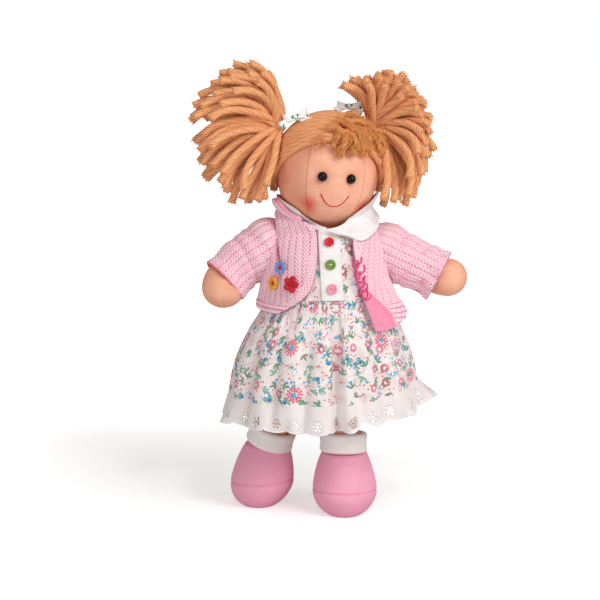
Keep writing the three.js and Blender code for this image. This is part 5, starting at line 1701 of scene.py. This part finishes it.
def make_cardigan():
    columns, rows = 760, 190
    u, v = np.linspace(0, 1, columns), np.linspace(0, 1, rows)[:, None]
    base, azimuth = cardigan_point(u, v, KNIT_SURFACE - RELIEF)
    x, y, height = np.moveaxis(base, -1, 0)
    out = normals(base)
    across, up = run(base, 1), run(base, 0)
    from_left, from_top = across[:, -1:] - across, up[-1] - up
    above = height - CARDIGAN["bottom"]
    place = stitch_places(height, azimuth, KNIT_SURFACE)

    # The knit, and the borders' own stitches
    relief = stitches(place, height)
    chain = 0.5 + 0.5 * ridge(from_left / 1.75 + 0.25 * np.sin(TAU * height / 3.4))
    chain *= 0.6 + 0.4 * ridge(height / 1.7 + 0.5)
    relief = np.where((from_left < BAND["side"]) | (across < BAND["side"] * 0.6), chain, relief)
    bobbles = 0.55 + 0.45 * ridge(place / 2.4 + 0.5 * np.floor(above / 2.7) + 0.5)
    relief = np.where(above < BAND["hem"], ridge(above / 2.7, 0.6) * bobbles, relief)
    neck_roll = ridge(from_top / 2.2, 0.6) * (0.7 + 0.3 * ridge(place / 1.8 + 0.5))
    relief = np.where(from_top < BAND["neck"], neck_roll, relief)

    # The left armhole's seam: a groove, with the knit's tone lowered along it as painted shade of the fold
    # between sleeve and front
    armhole_groove_shade = bell(x + 27.5 + 0.12 * (height - 150), 1.1) * (y < TORSO["y"])
    armhole_groove_shade = armhole_groove_shade * smooth(144, 154, height) * smooth(189, 182, height)
    relief = relief * (1 - 0.8 * armhole_groove_shade)
    sag = 0.6 * lumps(base, 12, 101)
    band_lift = 0.3 * smooth(BAND["side"] + 1, BAND["side"] - 0.5, from_left) + 0.5 * smooth(6.4, 5, above)
    swell = RELIEF * relief + sag + band_lift - 1.3 * armhole_groove_shade

    # The plain facing, which shows where the corner is turned out
    facing_width = FACING_WIDTH * smooth(156, 125, height) ** 1.3 + 0.01
    is_facing = (across < facing_width) & (height < 154)
    points = base + out * np.where(is_facing, 0.6 + sag, swell)[..., None]
    # The knit's tone is the stitches' height, which its colour turns into painted shade in the gaps and
    # painted highlight on the tops.
    tone = np.where(is_facing, 1 - 0.7 * bell(across - facing_width + 2.4, 0.4), relief)
    pile = Pile()
    face = grid_faces(rows, columns)
    uv = np.stack([place, height], -1)
    in_facing = is_facing.ravel()[face].all(1)
    for slot, chosen in ((0, face[~in_facing]), (1, face[in_facing])):
        pile.add(points, [chosen], uv, [chosen], tone, slot)
    up, along = unit(np.gradient(points, axis=0)), unit(np.gradient(points, axis=1))
    hem_strip(pile, points[0], up[0], 4.0, out[0], tone=0.4)
    hem_strip(pile, points[-1], -up[-1], 4.0, out[-1], tone=0.4)
    hem_strip(pile, points[:, 0], along[:, 0], 4.0, out[:, 0])
    hem_strip(pile, points[:, -1], -along[:, -1], 4.0, out[:, -1])
    cardigan = ride(pile.make("cardigan_knit", PINK_KNIT, FACING), "torso", "pink_knit", "cardigan")


def make_sleeve(side):
    points = [SHOULDERS[side], from_shoulder(side, ELBOWS[side]), from_shoulder(side, CUFFS[side])]
    path = through(points, 120)
    radius = np.linspace(SLEEVE_RADIUS[side], SLEEVE_END, len(path)) - RELIEF
    middles, radii, ways = dome(path, radius, end=False, steps=26)
    sides = 320
    base = swept_rings(middles, radii, ways, sides, first=(0, 1.0, 0))
    along, angle = run(middles)[:, None], turns(sides)
    share, to_end = along / along[-1], along[-1] - along
    columns = 2 * round(TAU * 16.5 / COLUMN / 2)  # an even number, that of a round 16.5 mm in radius
    relief = stitches(angle / TAU * columns, along, 1.0)
    rng = np.random.default_rng(111 if side == "left" else 112)
    crumple, gathers = np.zeros(base.shape[:2]), np.zeros(base.shape[:2])
    for k, (at, lean) in enumerate(((0.36, 0.5), (0.52, -0.6), (0.7, 0.5))):
        place = share - at - 0.09 * np.cos(angle + lean * 3 + k * 2)
        crumple += rng.uniform(0.6, 1.1) * bell(place, 0.035) - 0.4 * bell(place - 0.085, 0.05)
    for _ in range(16):
        off = wrapped(angle - rng.uniform(0, TAU))
        gathers += rng.uniform(0.5, 1.2) * bell(off, rng.uniform(0.04, 0.09)) * smooth(0.5, 0.15, share)
    ruffle = (1.2 if side == "right" else 0.45) * np.sin(angle * 9 + 1.0)
    swell = RELIEF * relief - crumple * smooth(0.2, 0.4, share) - gathers + 0.5 * lumps(base, 9, 113)
    swell += 1.5 * smooth(7, 0, to_end) + ruffle * smooth(6, 0, to_end)
    out = unit(base - middles[:, None] + np.array([0, 0, 1e-9]))
    points = base + out * (smooth(2.0, 7.0, radii)[:, None] * swell)[..., None]
    uv = np.stack(np.broadcast_arrays(np.linspace(0, columns * COLUMN, sides + 1), along), -1)
    pile = Pile()
    pile.grid(points, uv, True, relief)

    # The opening's rim and a short way back inside, given a low tone that paints shade into the opening
    end_way = unit(path[-1] - path[-2])
    turn = np.linspace(0, math.pi, 7)
    rows = [points[-1] - out[-1] * (1 - math.cos(t)) + end_way * math.sin(t) for t in turn]
    rows += [rows[-1] - end_way * s for s in (4.0, 9.0)]
    pile.grid(np.stack(rows), wrap=True, tone=0.3)
    if side == "left":
        edge = rows[5] + end_way * 0.3
        pile.strand(np.vstack([edge, edge[:1]])[::3], 0.95, 6, 2, 2.5, 0.2, slot=1, bulge=0)
    sleeve = pile.make("sleeve_knit_" + side, PINK_KNIT, ORANGE)
    ride(sleeve, "arm_" + side, "pink_knit", "sleeve_" + side)


def make_loops():
    """Loops of bright thread along the right front edge."""
    rng = np.random.default_rng(121)
    lift = KNIT_SURFACE + 0.5
    pile = Pile()
    for k in range(9):
        height = 161 - 2.7 * k + rng.uniform(-1, 1)
        tall, wide = rng.uniform(4, 7), rng.uniform(0.03, 0.075)
        turn = np.linspace(0.15, 0.85, 9) * TAU + rng.uniform(-0.6, 0.6)
        middle = edge_azimuth("right", height, lift) + rng.uniform(-0.01, 0.07)
        path = body_point(height + tall / 2 * np.cos(turn), middle + wide * np.sin(turn) * 1.2, lift)
        path[:, 1] -= 0.5 * np.sin(np.linspace(0, math.pi, 9))
        pile.strand(through(path, 30), 0.42, 7, 2, 2.0, 0.15)
    ride(pile.make("thread_loops", HOT_PINK), "torso", "pink_knit")


FLOWERS = {
    # sideways as a share of half the torso's width, share up the cardigan, radius, petals, both yarns
    "blue": (-0.76, 0.47, 4.4, 5, BLUE_YARN, RED_YARN),
    "yellow": (-0.881, 0.305, 4.4, 6, YELLOW_YARN, RED_YARN),
    "red": (-0.584, 0.315, 5.4, 5, RED_YARN, RED_YARN),
}


def make_flowers():
    """Each petal is a wide loop of yarn with a smaller one on top."""
    for colour, (sideways, upward, size, petals, look, heart) in FLOWERS.items():
        x = TORSO["x"] + TORSO["width"] / 2 * sideways
        at, turn = seat_on_body(CARDIGAN["bottom"] + CARDIGAN_HEIGHT * upward, x, KNIT_SURFACE + 0.6)
        pile = Pile()
        rng = np.random.default_rng(131)
        t = np.linspace(0, TAU, 25)
        for k in range(petals):
            way = TAU * k / petals + rng.uniform(-0.1, 0.1)
            across, over = np.array([[math.cos(way), math.sin(way)], [-math.sin(way), math.cos(way)]])
            for inset, rise in ((1.0, 0.5), (0.55, 1.0)):
                far, off = size * (0.55 + 0.34 * inset * np.cos(t)), size * 0.3 * inset * np.sin(t)
                loop = np.column_stack([far[:, None] * across + off[:, None] * over, rise + 0.35 * np.cos(t)])
                pile.strand(loop @ turn.T + at, 0.62, 8, 3, 2.6, 0.2, bulge=0)
        pile.ball(at + turn @ np.array([0, 0, 0.9]), [size * 0.24, size * 0.24, 0.9], 16, 10, turn, slot=1)
        flower = pile.make("flower_crochet_" + colour, look, heart)
        ride(flower, "torso", "crochet_" + colour, "flower_" + colour)


make_cardigan()
make_sleeve("left")
make_sleeve("right")
make_loops()
make_flowers()


# Floor, lamps and camera

def emptied(owner):
    """Clears the owner's nodes, and gives what adds a node and what links two sockets."""
    owner.use_nodes = True
    owner.node_tree.nodes.clear()
    return owner.node_tree.nodes.new, owner.node_tree.links.new


def make_floor():
    half = 6.0
    mesh = bpy.data.meshes.new("floor")
    corners = [(-half, -half, 0), (half, -half, 0), (half, half, 0), (-half, half, 0)]
    mesh.from_pydata(corners, [], [(0, 1, 2, 3)])
    floor = in_room("floor", mesh)
    look = bpy.data.materials.new("floor")
    add, link = emptied(look)
    output = add("ShaderNodeOutputMaterial")
    cloth = add("ShaderNodeBsdfDiffuse")
    cloth.inputs["Color"].default_value = (0.8, 0.8, 0.8, 1)
    place = add("ShaderNodeTexCoord")
    far = add("ShaderNodeVectorMath")
    far.operation = "LENGTH"
    glowing = add("ShaderNodeMapRange")
    glowing.interpolation_type = "SMOOTHSTEP"
    for name, value in (("From Min", 0.12), ("From Max", 0.55), ("To Min", 0.5), ("To Max", 1.0)):
        glowing.inputs[name].default_value = value
    glow = add("ShaderNodeEmission")
    both = add("ShaderNodeAddShader")
    ray = add("ShaderNodeLightPath")
    choice = add("ShaderNodeMixShader")
    link(place.outputs["Object"], far.inputs[0])
    link(far.outputs["Value"], glowing.inputs["Value"])
    link(glowing.outputs["Result"], glow.inputs["Strength"])
    link(cloth.outputs[0], both.inputs[0])
    link(glow.outputs[0], both.inputs[1])
    link(ray.outputs["Is Camera Ray"], choice.inputs[0])
    link(cloth.outputs[0], choice.inputs[1])
    link(both.outputs[0], choice.inputs[2])
    link(choice.outputs[0], output.inputs[0])
    mesh.materials.append(look)


def make_world():
    world = bpy.data.worlds.new("room")
    bpy.context.scene.world = world
    add, link = emptied(world)
    output = add("ShaderNodeOutputWorld")
    ambient = add("ShaderNodeBackground")
    ambient.inputs["Color"].default_value = (1, 0.985, 0.97, 1)
    ambient.inputs["Strength"].default_value = 0.37
    backdrop = add("ShaderNodeBackground")
    backdrop.inputs["Color"].default_value = (1, 1, 1, 1)
    ray = add("ShaderNodeLightPath")
    choice = add("ShaderNodeMixShader")
    link(ray.outputs["Is Camera Ray"], choice.inputs[0])
    link(ambient.outputs[0], choice.inputs[1])
    link(backdrop.outputs[0], choice.inputs[2])
    link(choice.outputs[0], output.inputs[0])


def lamp(name, place, size, power, colour):
    """A round lamp that points at the doll."""
    data = bpy.data.lights.new(name, "AREA")
    data.shape = "DISK"
    data.size = size
    data.energy = power
    data.color = colour
    made = in_room(name, data)
    made.location = Vector(place)
    made.rotation_mode = "QUATERNION"
    made.rotation_quaternion = (AIM - Vector(place)).to_track_quat("-Z", "Y")


AIM = Vector((-0.0155, 0.005, 0.1314))  # the place that the lamps and the camera point at


def make_camera():
    elevation, distance = math.radians(9.5), 1.2
    data = bpy.data.cameras.new("camera")
    data.lens, data.sensor_width = 116.1, 36.0
    camera = in_room("camera", data)
    back = Vector((0, -math.cos(elevation), math.sin(elevation)))
    camera.location = AIM + back * distance
    camera.rotation_mode = "QUATERNION"
    camera.rotation_quaternion = (-back).to_track_quat("-Z", "Y")
    bpy.context.scene.camera = camera


make_floor()
make_world()
lamp("key", (1.0, -1.0, 0.85), 0.8, 10.8, (1, 0.985, 0.965))
lamp("fill", (-0.85, -1.15, 0.05), 1.0, 7.0, (1, 0.99, 0.98))
lamp("glint", (0.35, -0.75, 1.1), 0.24, 2.6, (1, 1, 1))
make_camera()
bpy.context.scene.view_settings.view_transform = "Standard"
